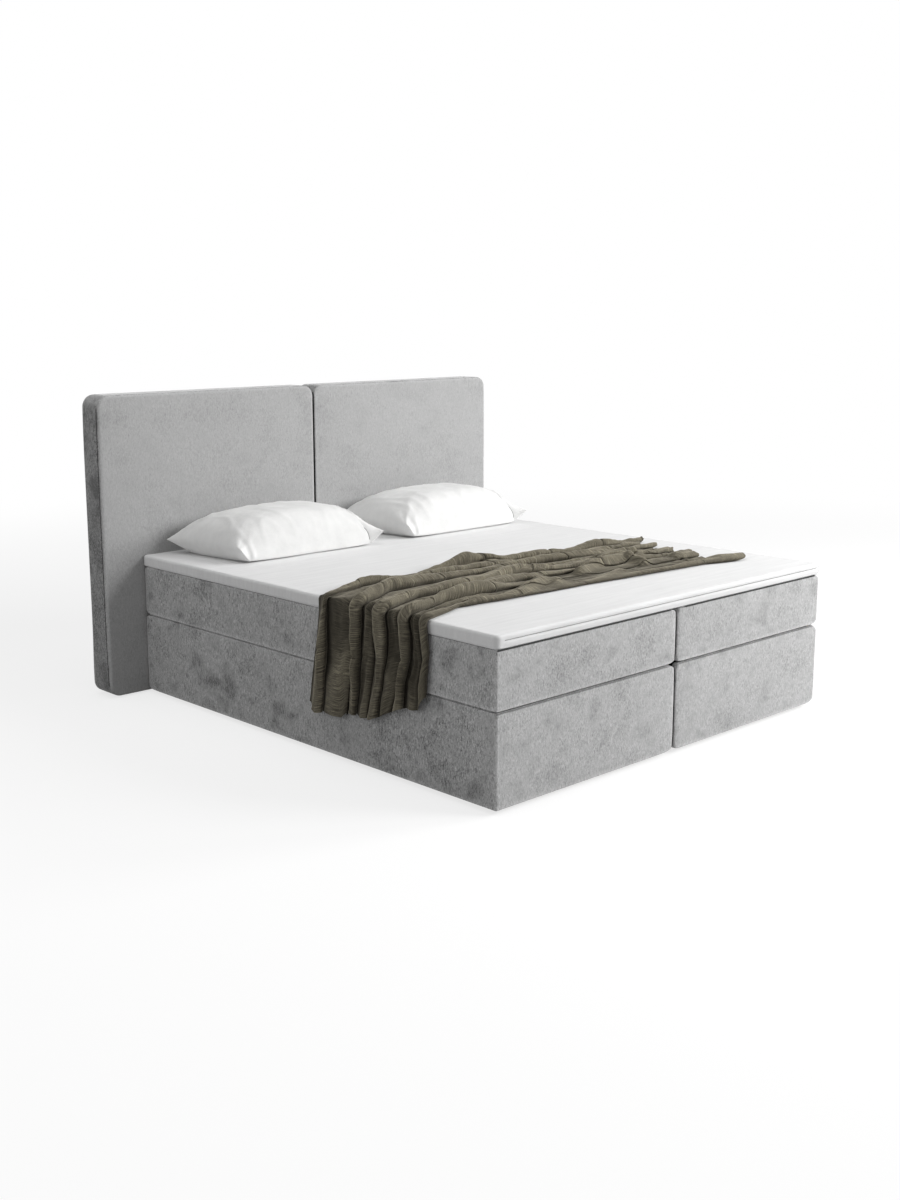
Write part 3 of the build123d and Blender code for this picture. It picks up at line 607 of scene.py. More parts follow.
def rim_shares(points):
    """How near each point is to an edge of its box: 1 on a side or bottom edge, and -1 on a top edge."""
    low, high = points.min(axis=0), points.max(axis=0)
    near = np.minimum(points - low, high - points)
    near[:, Z] = points[:, Z] - low[Z]
    away = np.sort(near, axis=1)[:, 1]
    underside_lining_and_shade = np.clip(1 - (high[Z] - points[:, Z]) / (0.7 * RIM_WIDTH), 0, 1)
    return np.clip(1 - away / RIM_WIDTH, 0, 1) * (underside_lining_and_shade == 0) - underside_lining_and_shade


def place_piece(name, mesh, material, body):
    """Make a smooth piece of a mesh, which moves with its body."""
    mesh.shade_smooth()
    mesh.materials.clear()
    mesh.materials.append(material)
    piece = bpy.data.objects.new(name, mesh)
    scene.collection.objects.link(piece)
    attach(piece, body)
    return piece


def new_piece(name, points, faces, material, body):
    """Make a closed piece from its points and faces."""
    mesh = bpy.data.meshes.new(name)
    mesh.from_pydata([tuple(p) for p in points], [], faces)
    work = bmesh.new()
    work.from_mesh(mesh)
    bmesh.ops.recalc_face_normals(work, faces=work.faces)
    work.to_mesh(mesh)
    work.free()
    # The velvet paints a highlight on rims where this is above 0, and shade along top edges where it is below
    # 0.
    mesh.attributes.new("rim", "FLOAT", "POINT").data.foreach_set("value", rim_shares(points))
    return place_piece(name, mesh, material, body)


def solids_of(node):
    """The lowest and highest corner of each separate solid in a CAD node."""
    work = bmesh.new()
    work.from_mesh(frame["nodes"][node].data)
    bmesh.ops.remove_doubles(work, verts=work.verts, dist=1e-6)
    seen = set()
    found = []
    for start in work.verts:
        if start in seen:
            continue
        group, queue = [], [start]
        seen.add(start)
        while queue:
            vert = queue.pop()
            group.append(vert.co[:])
            for edge in vert.link_edges:
                other = edge.other_vert(vert)
                if other not in seen:
                    seen.add(other)
                    queue.append(other)
        group = np.array(group)
        found.append((group.min(axis=0), group.max(axis=0)))
    work.free()
    return found


def trim_line(name, points, radius, material, body):
    """A thin sewn line: a round thread laid along points."""
    curve = bpy.data.curves.new(name, "CURVE")
    curve.dimensions = "3D"
    curve.bevel_depth = radius
    curve.bevel_resolution = 2
    spline = curve.splines.new("POLY")
    spline.points.add(len(points) - 1)
    for point, place in zip(spline.points, points):
        point.co = (*place, 1.0)
    shape = bpy.data.objects.new(name + "_line", curve)
    scene.collection.objects.link(shape)
    bpy.context.view_layer.update()
    mesh = bpy.data.meshes.new_from_object(shape)
    bpy.data.objects.remove(shape)
    mesh.name = name
    place_piece(name, mesh, material, body)


def build_box_upholstery(half, side, material):
    """One padded panel runs along the box's side, turns the foot corner and ends at the middle seam."""
    side_low, side_high = limits_of(f"{half}_box_side_pad")
    foot_low, foot_high = limits_of(f"{half}_box_foot_pad")
    low, high = side_low[Z], side_high[Z]
    outer = max(abs(side_low[X]), abs(side_high[X]))
    inner = min(abs(foot_low[X]), abs(foot_high[X]))
    thickness = side_high[X] - side_low[X]
    foot_y, head_y = foot_low[Y], side_high[Y]
    side_length = head_y - foot_y
    foot_length = outer - inner
    total = side_length + foot_length
    # The panel is shaped flat, with its run from head to middle seam along X, and then bent round the corner.
    run = np.concatenate([stops(0, side_length, PAD_STEP), stops(side_length, total, PAD_STEP)[1:]])
    points, faces = skin(run, stops(0, thickness, THIN_STEP), stops(low, high, PAD_STEP))
    for z, towards in ((low, 1), (high, -1)):
        round_edge(points, (X, Z), (0, z), (1, towards), END_RADIUS)
        round_edge(points, (X, Z), (total, z), (-1, towards), BOX_MIDDLE_RADIUS[half])
    if half == "right":
        round_far_corner(points, np.abs(points[:, X] - side_length), low, high)
    round_edge(points, (X, Y), (total, 0), (-1, 1), UPRIGHT_RADIUS)
    round_edge(points, (X, Y), (0, 0), (1, 1), 10 * MM)
    relax(points, faces, SOFTENING_ROUNDS)

    run, depth, height = points.T
    share = np.clip((height - low) / (high - low), 0, 1)
    on_side = run <= side_length
    place = np.where(on_side, run / side_length, (run - side_length) / foot_length)
    crown = 3 * MM * crowned(share) * crowned(place, 8)
    dents = unevenness(points, DENT_SIZE, DENT_DEPTH, 3 + side) * (crown > 0.4 * MM)
    depth = depth - (crown + dents) * np.clip(1 - depth / thickness, 0, 1)
    past_corner = (run - side_length) * (foot_length - depth) / foot_length
    x = outer - depth - np.where(on_side, 0, past_corner)
    y = np.where(on_side, head_y - run * (side_length - depth) / side_length, foot_y + depth)
    points = np.stack([side * x, y, height], axis=1)
    round_edge(points, (X, Y), (side * outer, foot_y), (-side, 1), 7 * MM)
    piece = new_piece(f"{half}_box_upholstery", points, faces, material, "base")
    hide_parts(f"{half}_box_side_pad", f"{half}_box_foot_pad")


def build_mattress(half, side, material, thread):
    """A mattress with a soft crown, a dark thread under the topper that paints its shadow, and a narrow
    piping over the box.
    """
    low, high = limits_of(f"{half}_mattress_cover")
    points, faces = block(low, high, PAD_STEP, PAD_STEP, PAD_STEP)
    middle_x, outer_x = (high[X], low[X]) if side < 0 else (low[X], high[X])
    for z, towards in ((low[Z], 1), (high[Z], -1)):
        round_edge(points, (X, Z), (middle_x, z), (side, towards), MATTRESS_MIDDLE_RADIUS[half])
        round_edge(points, (Y, Z), (high[Y], z), (-1, towards), END_RADIUS)
    round_edge(points, (X, Y), (middle_x, low[Y]), (side, 1), UPRIGHT_RADIUS)
    round_edge(points, (X, Y), (middle_x, high[Y]), (side, -1), UPRIGHT_RADIUS)
    round_edge(points, (X, Y), (outer_x, high[Y]), (-side, -1), UPRIGHT_RADIUS)
    round_edge(points, (X, Y), (outer_x, low[Y]), (-side, 1), 5 * MM)
    if half == "right":
        round_far_corner(points, (outer_x - points[:, X]) + (points[:, Y] - low[Y]), low[Z], high[Z])
    relax(points, faces, SOFTENING_ROUNDS)
    swell(points, X, side, 2 * MM)
    swell(points, Y, -1, 3 * MM)
    share = np.clip((points[:, Z] - low[Z]) / (high[Z] - low[Z]), 0, 1)
    dents = unevenness(points, DENT_SIZE, DENT_DEPTH, 11 + side) * crowned(share, 4)
    points[:, X] += side * dents
    points[:, Y] -= dents
    piece = new_piece(f"{half}_mattress", points, faces, material, f"{half}_lid")
    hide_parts(f"{half}_mattress_cover")

    # A thick dark thread along the foot's top edge paints the shadow under the topper.
    inset = 2 * MM
    near = middle_x + side * 40 * MM
    far = outer_x - side * (6 * MM if half == "left" else 34 * MM)
    line = [(x, low[Y] + inset, high[Z] - inset) for x in (near, far)]
    trim_line(f"{half}_mattress_shadow_line", line, 3.2 * MM, thread, f"{half}_lid")
    piping_x = outer_x - side * 4.5 * MM
    line = [(piping_x, y, low[Z] - 0.5 * MM) for y in (low[Y] + 20 * MM, high[Y] - 30 * MM)]
    trim_line(f"{half}_mattress_piping", line, 2.6 * MM, material, f"{half}_lid")


def cut_away(piece, boxes):
    """Cut recesses for boards, plates and bolts out of a pad."""
    work = bmesh.new()
    for low, high in boxes:
        sides = [np.array([a - RECESS_CLEARANCE, b + RECESS_CLEARANCE]) for a, b in zip(low, high)]
        points, faces = skin(*sides)
        verts = [work.verts.new(p) for p in points]
        for face in faces:
            work.faces.new([verts[n] for n in face])
    mesh = bpy.data.meshes.new("recess_tool")
    work.to_mesh(mesh)
    work.free()
    tool = bpy.data.objects.new("recess_tool", mesh)
    scene.collection.objects.link(tool)
    cut = piece.modifiers.new("recess", "BOOLEAN")
    cut.operation = "DIFFERENCE"
    cut.object = tool
    cut.solver = "EXACT"
    cut.use_self = True
    bpy.context.view_layer.update()
    result = bpy.data.meshes.new_from_object(piece.evaluated_get(bpy.context.evaluated_depsgraph_get()))
    piece.modifiers.clear()
    piece.data = result
    bpy.data.objects.remove(tool)
    result.set_sharp_from_angle(angle=math.radians(40))


def build_headboard_panel(half, side, material, thread):
    """A thick pad with rounded corners, whose cover hangs a little lower and hides most of the glides."""
    low, high = limits_of(f"{half}_headboard_pad")
    low[Z] -= COVER_DROP
    points, faces = block(low, high, PAD_STEP, 25 * MM, PAD_STEP)
    limits = ((low[X], high[X]), (low[Z], high[Z]))
    round_corners(points, (X, Z), limits, HEADBOARD_RADIUS)
    round_rim(points, (X, Z), limits, HEADBOARD_RADIUS, Y, low[Y], 1, 12 * MM)
    # The back's rim is rounder at the top; low down it stays square over the board.
    rounder = points.copy()
    round_rim(rounder, (X, Z), limits, HEADBOARD_RADIUS, Y, high[Y], -1, 24 * MM)
    round_rim(points, (X, Z), limits, HEADBOARD_RADIUS, Y, high[Y], -1, 5 * MM)
    upper = smooth_share((points[:, Z:] - low[Z] - 60 * MM) / (300 * MM))
    points = points * (1 - upper) + rounder * upper
    swell(points, Y, -1, 4 * MM)
    swell(points, X, side, SIDE_CROWN)
    front = np.clip(1 - (points[:, Y] - low[Y]) / (30 * MM), 0, 1)
    points[:, Y] -= unevenness(points, 200 * MM, 0.8 * MM, 21 + side) * front
    piece = new_piece(f"{half}_headboard_panel", points, faces, material, "base")
    hardware = [f"{half}_headboard_board", "headboard_joining_plates", "headboard_bolts"]
    cut_away(piece, [solid for node in hardware for solid in solids_of(node)])
    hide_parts(f"{half}_headboard_pad")

    # A sewn seam runs up the outer side, close behind the front, where the side crowns outwards. Its thread
    # is dark and thick: partly the seam, partly painted shade in its crease.
    seam_depth = 11.5 * MM
    heights = np.linspace(low[Z] + HEADBOARD_RADIUS, high[Z] - HEADBOARD_RADIUS, 24)
    crown = crowned((heights - low[Z]) / (high[Z] - low[Z])) * crowned(seam_depth / (high[Y] - low[Y]))
    outer_x = low[X] if side < 0 else high[X]
    line = [(outer_x + side * SIDE_CROWN * share, low[Y] + seam_depth, z) for z, share in zip(heights, crown)]
    trim_line(f"{half}_headboard_seam", line, 1.8 * MM, thread, "base")


def build_topper(material, thread):
    """A thin topper with soft edges, and a zip along its foot side."""
    low, high = limits_of("topper_cover")
    points, faces = block(low, high, TOPPER_STEP, TOPPER_STEP, THIN_STEP)
    limits = ((low[X], high[X]), (low[Y], high[Y]))
    round_corners(points, (X, Y), limits, TOPPER_RADIUS)
    round_rim(points, (X, Y), limits, TOPPER_RADIUS, Z, high[Z], -1, 10 * MM)
    round_rim(points, (X, Y), limits, TOPPER_RADIUS, Z, low[Z], 1, 7 * MM)
    upper = np.clip((points[:, Z] - low[Z]) / (high[Z] - low[Z]), 0, 1)
    points[:, Z] += unevenness(points, 120 * MM, 1.2 * MM, 5) * upper**3
    # The sides bulge by a millimetre, unevenly.
    bulge = (unevenness(points, 100 * MM, 1.4 * MM, 6) + 1 * MM) * crowned(upper, 4)
    centre = (low + high) / 2
    half = (high - low) / 2
    share = (points - centre) / half
    on_edge = np.abs(share[:, :2]).max(axis=1) > 0.99
    for axis in (X, Y):
        on_side = on_edge & (np.abs(share[:, axis]) > 0.985)
        points[:, axis] += np.where(on_side, np.sign(share[:, axis]) * bulge, 0)
    # The zip is a groove, with the tape's raised flap below it.
    on_foot = (points[:, Y] < low[Y] + 4 * MM) & (points[:, X] > low[X] + 30 * MM)
    zip_level = high[Z] - ZIP_DROP
    groove = 2.2 * MM * bell(points[:, Z] - zip_level, 2.4 * MM)
    flap = 1.8 * MM * bell(points[:, Z] - zip_level + 10 * MM, 6 * MM)
    points[:, Y] += np.where(on_foot, groove - flap, 0)
    points[:, :2] = centre[:2] + (points[:, :2] - centre[:2]) * (1 + TOPPER_OVERHANG / half[:2])
    piece = new_piece("topper", points, faces, material, "topper")
    front = points[:, Y].min() + 2.8 * MM
    line = [(x, front, zip_level) for x in np.linspace(low[X] + 30 * MM, high[X] - 20 * MM, 60)]
    trim_line("topper_zip", line, 1.2 * MM, thread, "topper")
    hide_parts("topper_cover")


def field(x, y, z):
    """Soft noise, from about -0.7 to 0.7, at each of many places."""
    return np.array([noise.noise(Vector(place)) for place in np.broadcast(x, y, z)])


def pillow_bag(columns, rows, flap_columns):
    """Two layers joined along their edges: the points' shares and layer, their faces and their numbers."""
    number = {}
    shares = []
    total = columns + flap_columns
    curve = BAG_CURVE * math.pi / 2
    for i in range(total + 1):
        for j in range(rows + 1):
            if i > columns:
                u = FLAP_LINE + ((i - columns) / flap_columns) ** 1.5 * (1 - FLAP_LINE)
            else:
                along = math.sin((i / columns * 2 - 1) * curve) / math.sin(curve)
                u = -1 + (1 + along) / 2 * (1 + FLAP_LINE)
            v = math.sin((j / rows * 2 - 1) * curve) / math.sin(curve)
            rim = i in (0, total) or j in (0, rows)
            number[i, j, 1] = len(shares)
            shares.append((u, v, 0.0 if rim else 1.0))
            if rim:
                number[i, j, 0] = number[i, j, 1]
            else:
                number[i, j, 0] = len(shares)
                shares.append((u, v, -1.0))
    faces = []
    for i in range(total):
        for j in range(rows):
            square = ((i, j), (i + 1, j), (i + 1, j + 1), (i, j + 1))
            faces.append([number[(*c, 1)] for c in square])
            faces.append([number[(*c, 0)] for c in reversed(square)])
    return np.array(shares), faces, number


def pillow_fullness(u, v, body, beyond):
    """How full the case is, from 0 at its edges to 1 in its middle."""
    right_power, right_softness = 2.7, 0.54
    # The filling ends at the sewn line; past it the empty case closes like a wedge.
    end_fill = (1 - ((FLAP_LINE + 1) / FILLING_SPAN * 2 - 1) ** right_power) ** right_softness
    left = (1 - np.abs(body) ** 2.8) ** 0.60
    right = (1 - np.abs(body) ** right_power) ** right_softness
    wedge = 1.06 * end_fill * (1 - beyond) ** 0.75
    filled = np.where(u > FLAP_LINE, wedge, np.where(body < 0, left, right))
    filled = filled * (1 - 0.14 * bell(u - FLAP_LINE, 0.02))
    return filled * (1 - np.abs(v) ** 3.8).clip(0, 1) ** 0.54


def pillow_plan(u, v, body, beyond):
    """The case seen from above, whose long front edge lies on the bed between two raised corners."""
    left_x = CASE_LEFT - CASE_TAPER["left"] * (v + 1) / 2
    flap_x = CASE_SEAM - CASE_TAPER["seam"] * smooth_share((v + 1) / 0.25)
    right_x = CASE_END - CASE_TAPER["right"] * (v + 1) / 2
    x = left_x + (flap_x - left_x) * np.clip((u + 1) / (FLAP_LINE + 1), 0, 1) + (right_x - flap_x) * beyond
    y = v * np.where(v < 0, CASE_FRONT, CASE_BACK)
    # Between its corners the case is drawn in, so that the corners stand out as points.
    drawn_in = np.where(u < 0, 1, 0.4) * 20 * MM
    x = x - drawn_in * (1 - np.abs(v) ** 3) * np.abs(body) ** 5 * np.sign(body)
    y = y - 18 * MM * (1 - np.abs(body) ** 4) * np.clip(v, 0, 1) ** 5
    near_left_corner = np.clip(-u * 8 - 7, 0, 1)
    y = y - np.clip(-v, 0, 1) ** 5 * (32 * MM * beyond + 10 * MM * near_left_corner)
    return x, y


def pillow_creases(x, y, u, v, body, side):
    """The height of the case's creases over its crown."""
    # Creases run in from each corner and along the ends.
    fans = np.zeros_like(x)
    for corner_x, corner_y in CREASE_CORNERS:
        reach = np.hypot(x - corner_x, y - corner_y)
        angle = np.arctan2(y - corner_y, x - corner_x)
        fan = field(angle * 3.6, reach * 5, corner_x * 9 + side)
        fans += fan * bell(reach, 160 * MM) * np.clip(reach / (30 * MM), 0, 1)
    end = np.abs(body) ** 4
    drag = field(x * 9, y * 3.2, 3.1 + side) * (4 * MM + 6 * MM * end)
    # Sharper creases run across the case, and small gathers meet the sewn line.
    folded = np.abs(field(x * 13 + y * 5, y * 5 - x * 3, 4.7 + side))
    sharp = (1 - folded * 4).clip(0) ** 1.5 * (0.4 + 0.6 * np.abs(v) ** 2 + end).clip(0, 1)
    gathers = field(x * 5, y * 23, 8.1 + side) * bell(u - FLAP_LINE, 0.16)
    return fans * 12 * MM + drag + 8 * MM * sharp + 6 * MM * gathers


def build_pillow(half, side, material, thread):
    """A well-filled pillow with creases, whose empty case end closes like a wedge at the right."""
    low, high = limits_of(f"{half}_pillow")
    columns, rows, flap_columns = ((96, 72, 10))
    shares, faces, number = pillow_bag(columns, rows, flap_columns)
    u, v, layer = shares.T
    body = np.clip((u + 1) / FILLING_SPAN * 2 - 1, -1, 1)
    beyond = np.clip((u - FLAP_LINE) / (1 - FLAP_LINE), 0, 1)
    fill = pillow_fullness(u, v, body, beyond)
    x, y = pillow_plan(u, v, body, beyond)
    crease = pillow_creases(x, y, u, v, body, side)
    # A bent nick is pressed into the front of the left half.
    bent = x + 0.255 - 0.05 * (v + 0.8) ** 2
    nick = -13 * MM * bell(bent, 9 * MM) * np.clip(-v * 2.2 - 0.9, 0, 1)
    # The seam round the case lies low along the front and rises to the ends and the back.
    soft = field(x * 7, y * 7, side)
    between = np.clip((u + 1) / 0.12, 0, 1) * (1 - beyond)
    seam = 58 * MM - 48 * MM * smooth_share((-v - 0.3) / 0.7) * between + 3 * MM * soft
    seam = seam + 4 * MM * beyond * np.clip(-v, 0, 1)
    crown = high[Z] - low[Z] + 10 * MM
    top = seam + (crown - seam) * fill + (crease + nick) * fill**0.5
    bottom = seam * (1 - fill.clip(0, 0.5) / 0.5)
    y = y - nick * 0.8 * np.sign(v) * (layer > 0)
    z = np.where(layer > 0, top, np.where(layer < 0, bottom, seam))
    points = np.stack([x, y, np.maximum(z, 0.6 * MM + z * 0.02)], axis=1)
    relax(points, faces, 2)
    points += np.array([(low[X] + high[X]) / 2 - 4 * MM, (low[Y] + high[Y]) / 2, low[Z]])
    piece = new_piece(f"{half}_pillow_case", points, faces, material, f"{half}_pillow")
    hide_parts(f"{half}_pillow")
    # The grey thread along the sewn line is partly the seam and partly painted shade in its crease.
    line = [points[number[columns, j, 1]] for j in range(1, rows)]
    trim_line(f"{half}_pillow_flap_seam", line, 1.6 * MM, thread, f"{half}_pillow")


# The throw's fold lines from the head side to the foot side, in millimetres from the bed's foot, at
# stations along it. On top a station is a place across the bed, and on the side a share of the hang.
THROW_TOP_LINES = {
    0.85: (830, 772, 715, 650, 585, 520, 455, 385, 318, 232),
    0.60: (830, 778, 725, 665, 600, 535, 470, 400, 333, 272),
    0.35: (842, 790, 735, 675, 620, 550, 480, 412, 352, 290),
    0.05: (895, 832, 770, 708, 645, 580, 510, 445, 380, 314),
    -0.10: (945, 860, 785, 722, 655, 590, 520, 455, 392, 326),
    -0.22: (906, 862, 800, 732, 665, 594, 525, 460, 398, 332),
    -0.50: (902, 872, 808, 725, 638, 578, 510, 458, 406, 348),
    -0.70: (892, 856, 770, 708, 630, 565, 492, 445, 400, 370),
    -0.89: (849, 803, 676, 615, 563, 494, 436, 378, 338, 299),
}
THROW_HANG_LINES = {
    0.15: (852, 802, 674, 614, 560, 492, 430, 374, 332, 292),
    0.42: (864, 798, 662, 622, 556, 488, 412, 371, 322, 286),
    0.75: (888, 817, 678, 636, 576, 516, 443, 401, 336, 299),
    1.00: (906, 830, 702, 655, 590, 535, 470, 410, 340, 302),
}
# Each fold's height in millimetres on the bed's top and on its side.
THROW_TOP_HEIGHTS = {
    0.85: (20, 13, 17, 10, 16, 11, 18, 9, 15),
    0.60: (26, 18, 24, 14, 26, 15, 22, 13, 17),
    0.35: (30, 16, 28, 18, 30, 14, 12, 10, 18),
    0.05: (28, 18, 30, 16, 32, 16, 8, 8, 18),
    -0.22: (30, 24, 32, 14, 34, 30, 10, 8, 10),
    -0.50: (16, 22, 42, 12, 34, 18, 34, 12, 8),
    -0.70: (24, 14, 40, 14, 30, 22, 38, 8, 16),
    -0.89: (26, 12, 34, 15, 34, 18, 34, 14, 16),
}
THROW_HANG_HEIGHTS = {
    0.15: (36, 16, 34, 14, 36, 16, 34, 15, 22),
    0.55: (40, 22, 34, 12, 40, 15, 34, 14, 24),
    1.00: (36, 30, 28, 16, 38, 17, 32, 16, 24),
}
# Slack ridges that cross the folds: height and half width in millimetres, and places on the bed's top.
THROW_RIDGES = (
    (26, 30, ((-0.62, 0.364), (-0.52, 0.343), (-0.357, 0.382), (-0.212, 0.453))),
    (22, 34, ((-0.19, 0.465), (-0.17, 0.415), (-0.235, 0.31), (-0.25, 0.26))),
    (26, 26, ((0.025, 0.47), (0.151, 0.513), (0.254, 0.535), (0.356, 0.530), (0.345, 0.474), (0.335, 0.41))),
    (18, 22, ((0.305, 0.613), (0.38, 0.591), (0.432, 0.56), (0.427, 0.519))),
    (16, 45, ((-0.17, 0.885), (-0.10, 0.885), (-0.05, 0.845))),
    (14, 30, ((-0.05, 0.31), (0.06, 0.36), (0.18, 0.40))),
)
# Where the folds flatten out: place, reach along and across the throw, and how much is left of them.
THROW_CALM = ((0.10, 0.40, 0.26, 0.10, 0.35), (-0.22, 0.38, 0.12, 0.10, 0.5), (-0.78, 0.75, 0.10, 0.05, 0.6))
# The hem's height above the floor at places from the bed's foot.
THROW_HEM = (
    (0.29, 0.345), (0.33, 0.275), (0.41, 0.266), (0.49, 0.232), (0.55, 0.202),
    (0.63, 0.19), (0.69, 0.198), (0.715, 0.172), (0.85, 0.165), (0.91, 0.186),
)
# Where the throw's right end lies: places across it, counted in folds, and metres from the bed's middle.
THROW_ENDS = (
    (0.0, 0.765), (0.5, 0.795), (1.0, 0.775), (1.7, 0.700), (2.4, 0.745), (3.4, 0.650), (4.2, 0.705),
    (4.8, 0.655), (5.4, 0.720), (6.2, 0.660), (7.3, 0.635), (7.9, 0.610), (8.5, 0.775), (9.0, 0.710),
)
# A fold's outline from its head side to its foot side, as shares of its width and height:
# a tuck lies over the next fold like a shingle, and a roll is round.
TUCK = ((-0.16, 0), (0.02, 0.1), (0.28, 0.48), (0.56, 0.86), (0.8, 1), (0.99, 0.86), (1.04, 0.52), (0.84, 0))
ROLL = ((-0.08, 0), (0, 0.36), (0.12, 0.78), (0.38, 1), (0.66, 0.98), (0.92, 0.76), (1, 0.40), (0.88, 0))


def smooth_curve(knots, count):
    """Points at even shares of a smooth line through the knots."""
    knots = np.array(knots, float)
    padded = np.vstack([2 * knots[0] - knots[1], knots, 2 * knots[-1] - knots[-2]])
    line = []
    for place in np.linspace(0, len(knots) - 1, count, endpoint=False):
        n = min(int(place), len(knots) - 2)
        w = place - n
        a, b, c, d = padded[n : n + 4]
        bend = (2 * a - 5 * b + 4 * c - d) * w**2
        twist = (3 * b - a - 3 * c + d) * w**3
        line.append(0.5 * (2 * b + (c - a) * w + bend + twist))
    return np.array(line)


def waves(run, width, size_run, size_width, seed):
    """Soft noise on the cloth, from about -0.7 to 0.7."""
    return noise.noise(Vector((run / size_run, width / size_width, seed)))


class ThrowPath:
    """The throw's way from its right end over the topper and its left edge down to the lowest hem."""

    def __init__(self):
        mattress = limits_of("left_mattress_cover")[0]
        self.foot_y = mattress[Y]
        self.surface = limits_of("topper_cover")[1][Z] + 2.2 * MM
        self.outer = mattress[X] - 6 * MM
        self.right = limits_of("throw_blanket")[1][X]
        self.bend = 14 * MM
        self.pulled = 450 * MM
        lowest = 160 * MM
        self.top_length = self.right - (self.outer + self.bend)
        self.hang_start = self.top_length + self.bend * math.pi / 2
        self.hang_length = self.surface - self.bend - lowest
        self.total = self.hang_start + self.hang_length

    def table(self, top, hang):
        """The places along the throw of both tables' stations, and their columns in metres."""
        rows = [(self.right - x, row) for x, row in top.items()]
        rows += [(self.hang_start + self.hang_length * share, row) for share, row in hang.items()]
        return [s for s, _ in rows], np.array([row for _, row in rows]).T * MM

    def past_edge(self, along, before, reach):
        """How far the cloth is over the edge: 0 up to a distance before it, and 1 after the reach."""
        return smooth_share((along - self.top_length + before) / reach)

    def stations(self, spacing):
        """Places along the throw, closer together where it bends over the edge."""
        flat = self.top_length - 10 * MM
        down = self.hang_start + 10 * MM
        top = np.arange(0, flat, spacing)
        hang = np.arange(down + spacing, self.total, spacing)
        return np.concatenate([top, np.linspace(flat, down, 14), hang, [self.total]])

    def place(self, along, y, h, end):
        """Lay the cloth out in space: its run, its place across, its height and where its right end lies."""
        # Near its right end the cloth is pulled to where each fold ends.
        pulled = along + (self.right - end) * smooth_share(1 - along / self.pulled)
        angle = np.clip((along - self.top_length) / self.bend, 0, math.pi / 2)
        hem = np.interp(y, *zip(*THROW_HEM))
        drop = np.clip((along - self.hang_start) / self.hang_length, 0, 1) * (self.surface - self.bend - hem)
        lying = along <= self.top_length
        x = self.outer + self.bend - (self.bend + h) * np.sin(angle)
        z = self.surface - self.bend + (self.bend + h) * np.cos(angle) - drop
        x = np.where(lying, self.right - np.minimum(pulled, self.top_length), x)
        return np.stack([x, y + self.foot_y, np.where(lying, self.surface + h, z)], axis=1)


def fold_cloth(path, stations, steps):
    """The cloth's points as rows of its run, its share counted in folds, its place across and its height."""
    line_places, line_columns = path.table(THROW_TOP_LINES, THROW_HANG_LINES)
    height_places, height_columns = path.table(THROW_TOP_HEIGHTS, THROW_HANG_HEIGHTS)
    folds = len(height_columns)
    tuck_shade, roll = smooth_curve(TUCK, steps), smooth_curve(ROLL, steps)
    last = (np.array(TUCK[-1]) + np.array(ROLL[-1])) / 2
    # The outermost fold lines sway less than the others.
    sway = [0.4 if n in (0, folds) else 1.0 for n in range(folds + 1)]
    rows = []
    for s in stations:
        lines = np.array([np.interp(s, line_places, column) for column in line_columns])
        lines += [w * 8 * MM * waves(s, n * 5.3, 0.23, 1, 0.7) for n, w in enumerate(sway)]
        lines += [w * 7 * MM * waves(s, n * 3.1, 0.085, 1, 2.9) for n, w in enumerate(sway)]
        heights = [np.interp(s, height_places, column) for column in height_columns]
        on_side = path.past_edge(s, 30 * MM, 140 * MM)
        for fold in range(folds):
            height = heights[fold] * max(0.15, 1 + 0.9 * waves(s, fold * 3.9, 0.24, 1, 4.2))
            mix = np.clip(0.40 - 0.2 * on_side + 1.1 * waves(s, fold * 2.9, 0.4, 1, 7.7), 0, 1)
            outline = tuck_shade * (1 - mix) + roll * mix
            if fold == folds - 1:
                outline = np.vstack([outline, last])
            for n, (across, up) in enumerate(outline):
                part = n / steps
                share = fold + part
                # Long creases along the fold, and short crumples across it.
                crease = 6 * MM * waves(s, share, 0.20, 0.21, 3.3) + 3 * MM * waves(s, share, 0.06, 0.13, 1.3)
                crumple = 2.6 * MM * waves(s, share, 0.035, 0.5, 5.9)
                arch = math.sin(math.pi * min(part, 1)) * (1 - smooth_share(share - folds + 1))
                y = lines[fold] + (lines[fold + 1] - lines[fold]) * across
                rows.append((s, share, y, height * up + (crease + crumple) * arch))
    return np.array(rows), folds


def raise_ridges(x, y, h, share):
    """Flatten the calm stretches of the folds, and add the slack ridges as far as they may show."""
    for place_x, place_y, reach_x, reach_y, left_over in THROW_CALM:
        h = h * (1 - (1 - left_over) * bell(x - place_x, reach_x) * bell(y - place_y, reach_y))
    for height, half_width, knots in THROW_RIDGES:
        knots = smooth_curve(knots, 24)
        away = np.full_like(x, np.inf)
        for a, b in zip(knots[:-1], knots[1:]):
            reach = ((x - a[X]) * (b[X] - a[X]) + (y - a[Y]) * (b[Y] - a[Y])) / ((b - a) ** 2).sum()
            reach = np.clip(reach, 0, 1)
            step_x, step_y = x - a[X] - reach * (b[X] - a[X]), y - a[Y] - reach * (b[Y] - a[Y])
            away = np.minimum(away, np.hypot(step_x, step_y))
        h = h + share * height * MM * bell(away, half_width * MM)
    return h


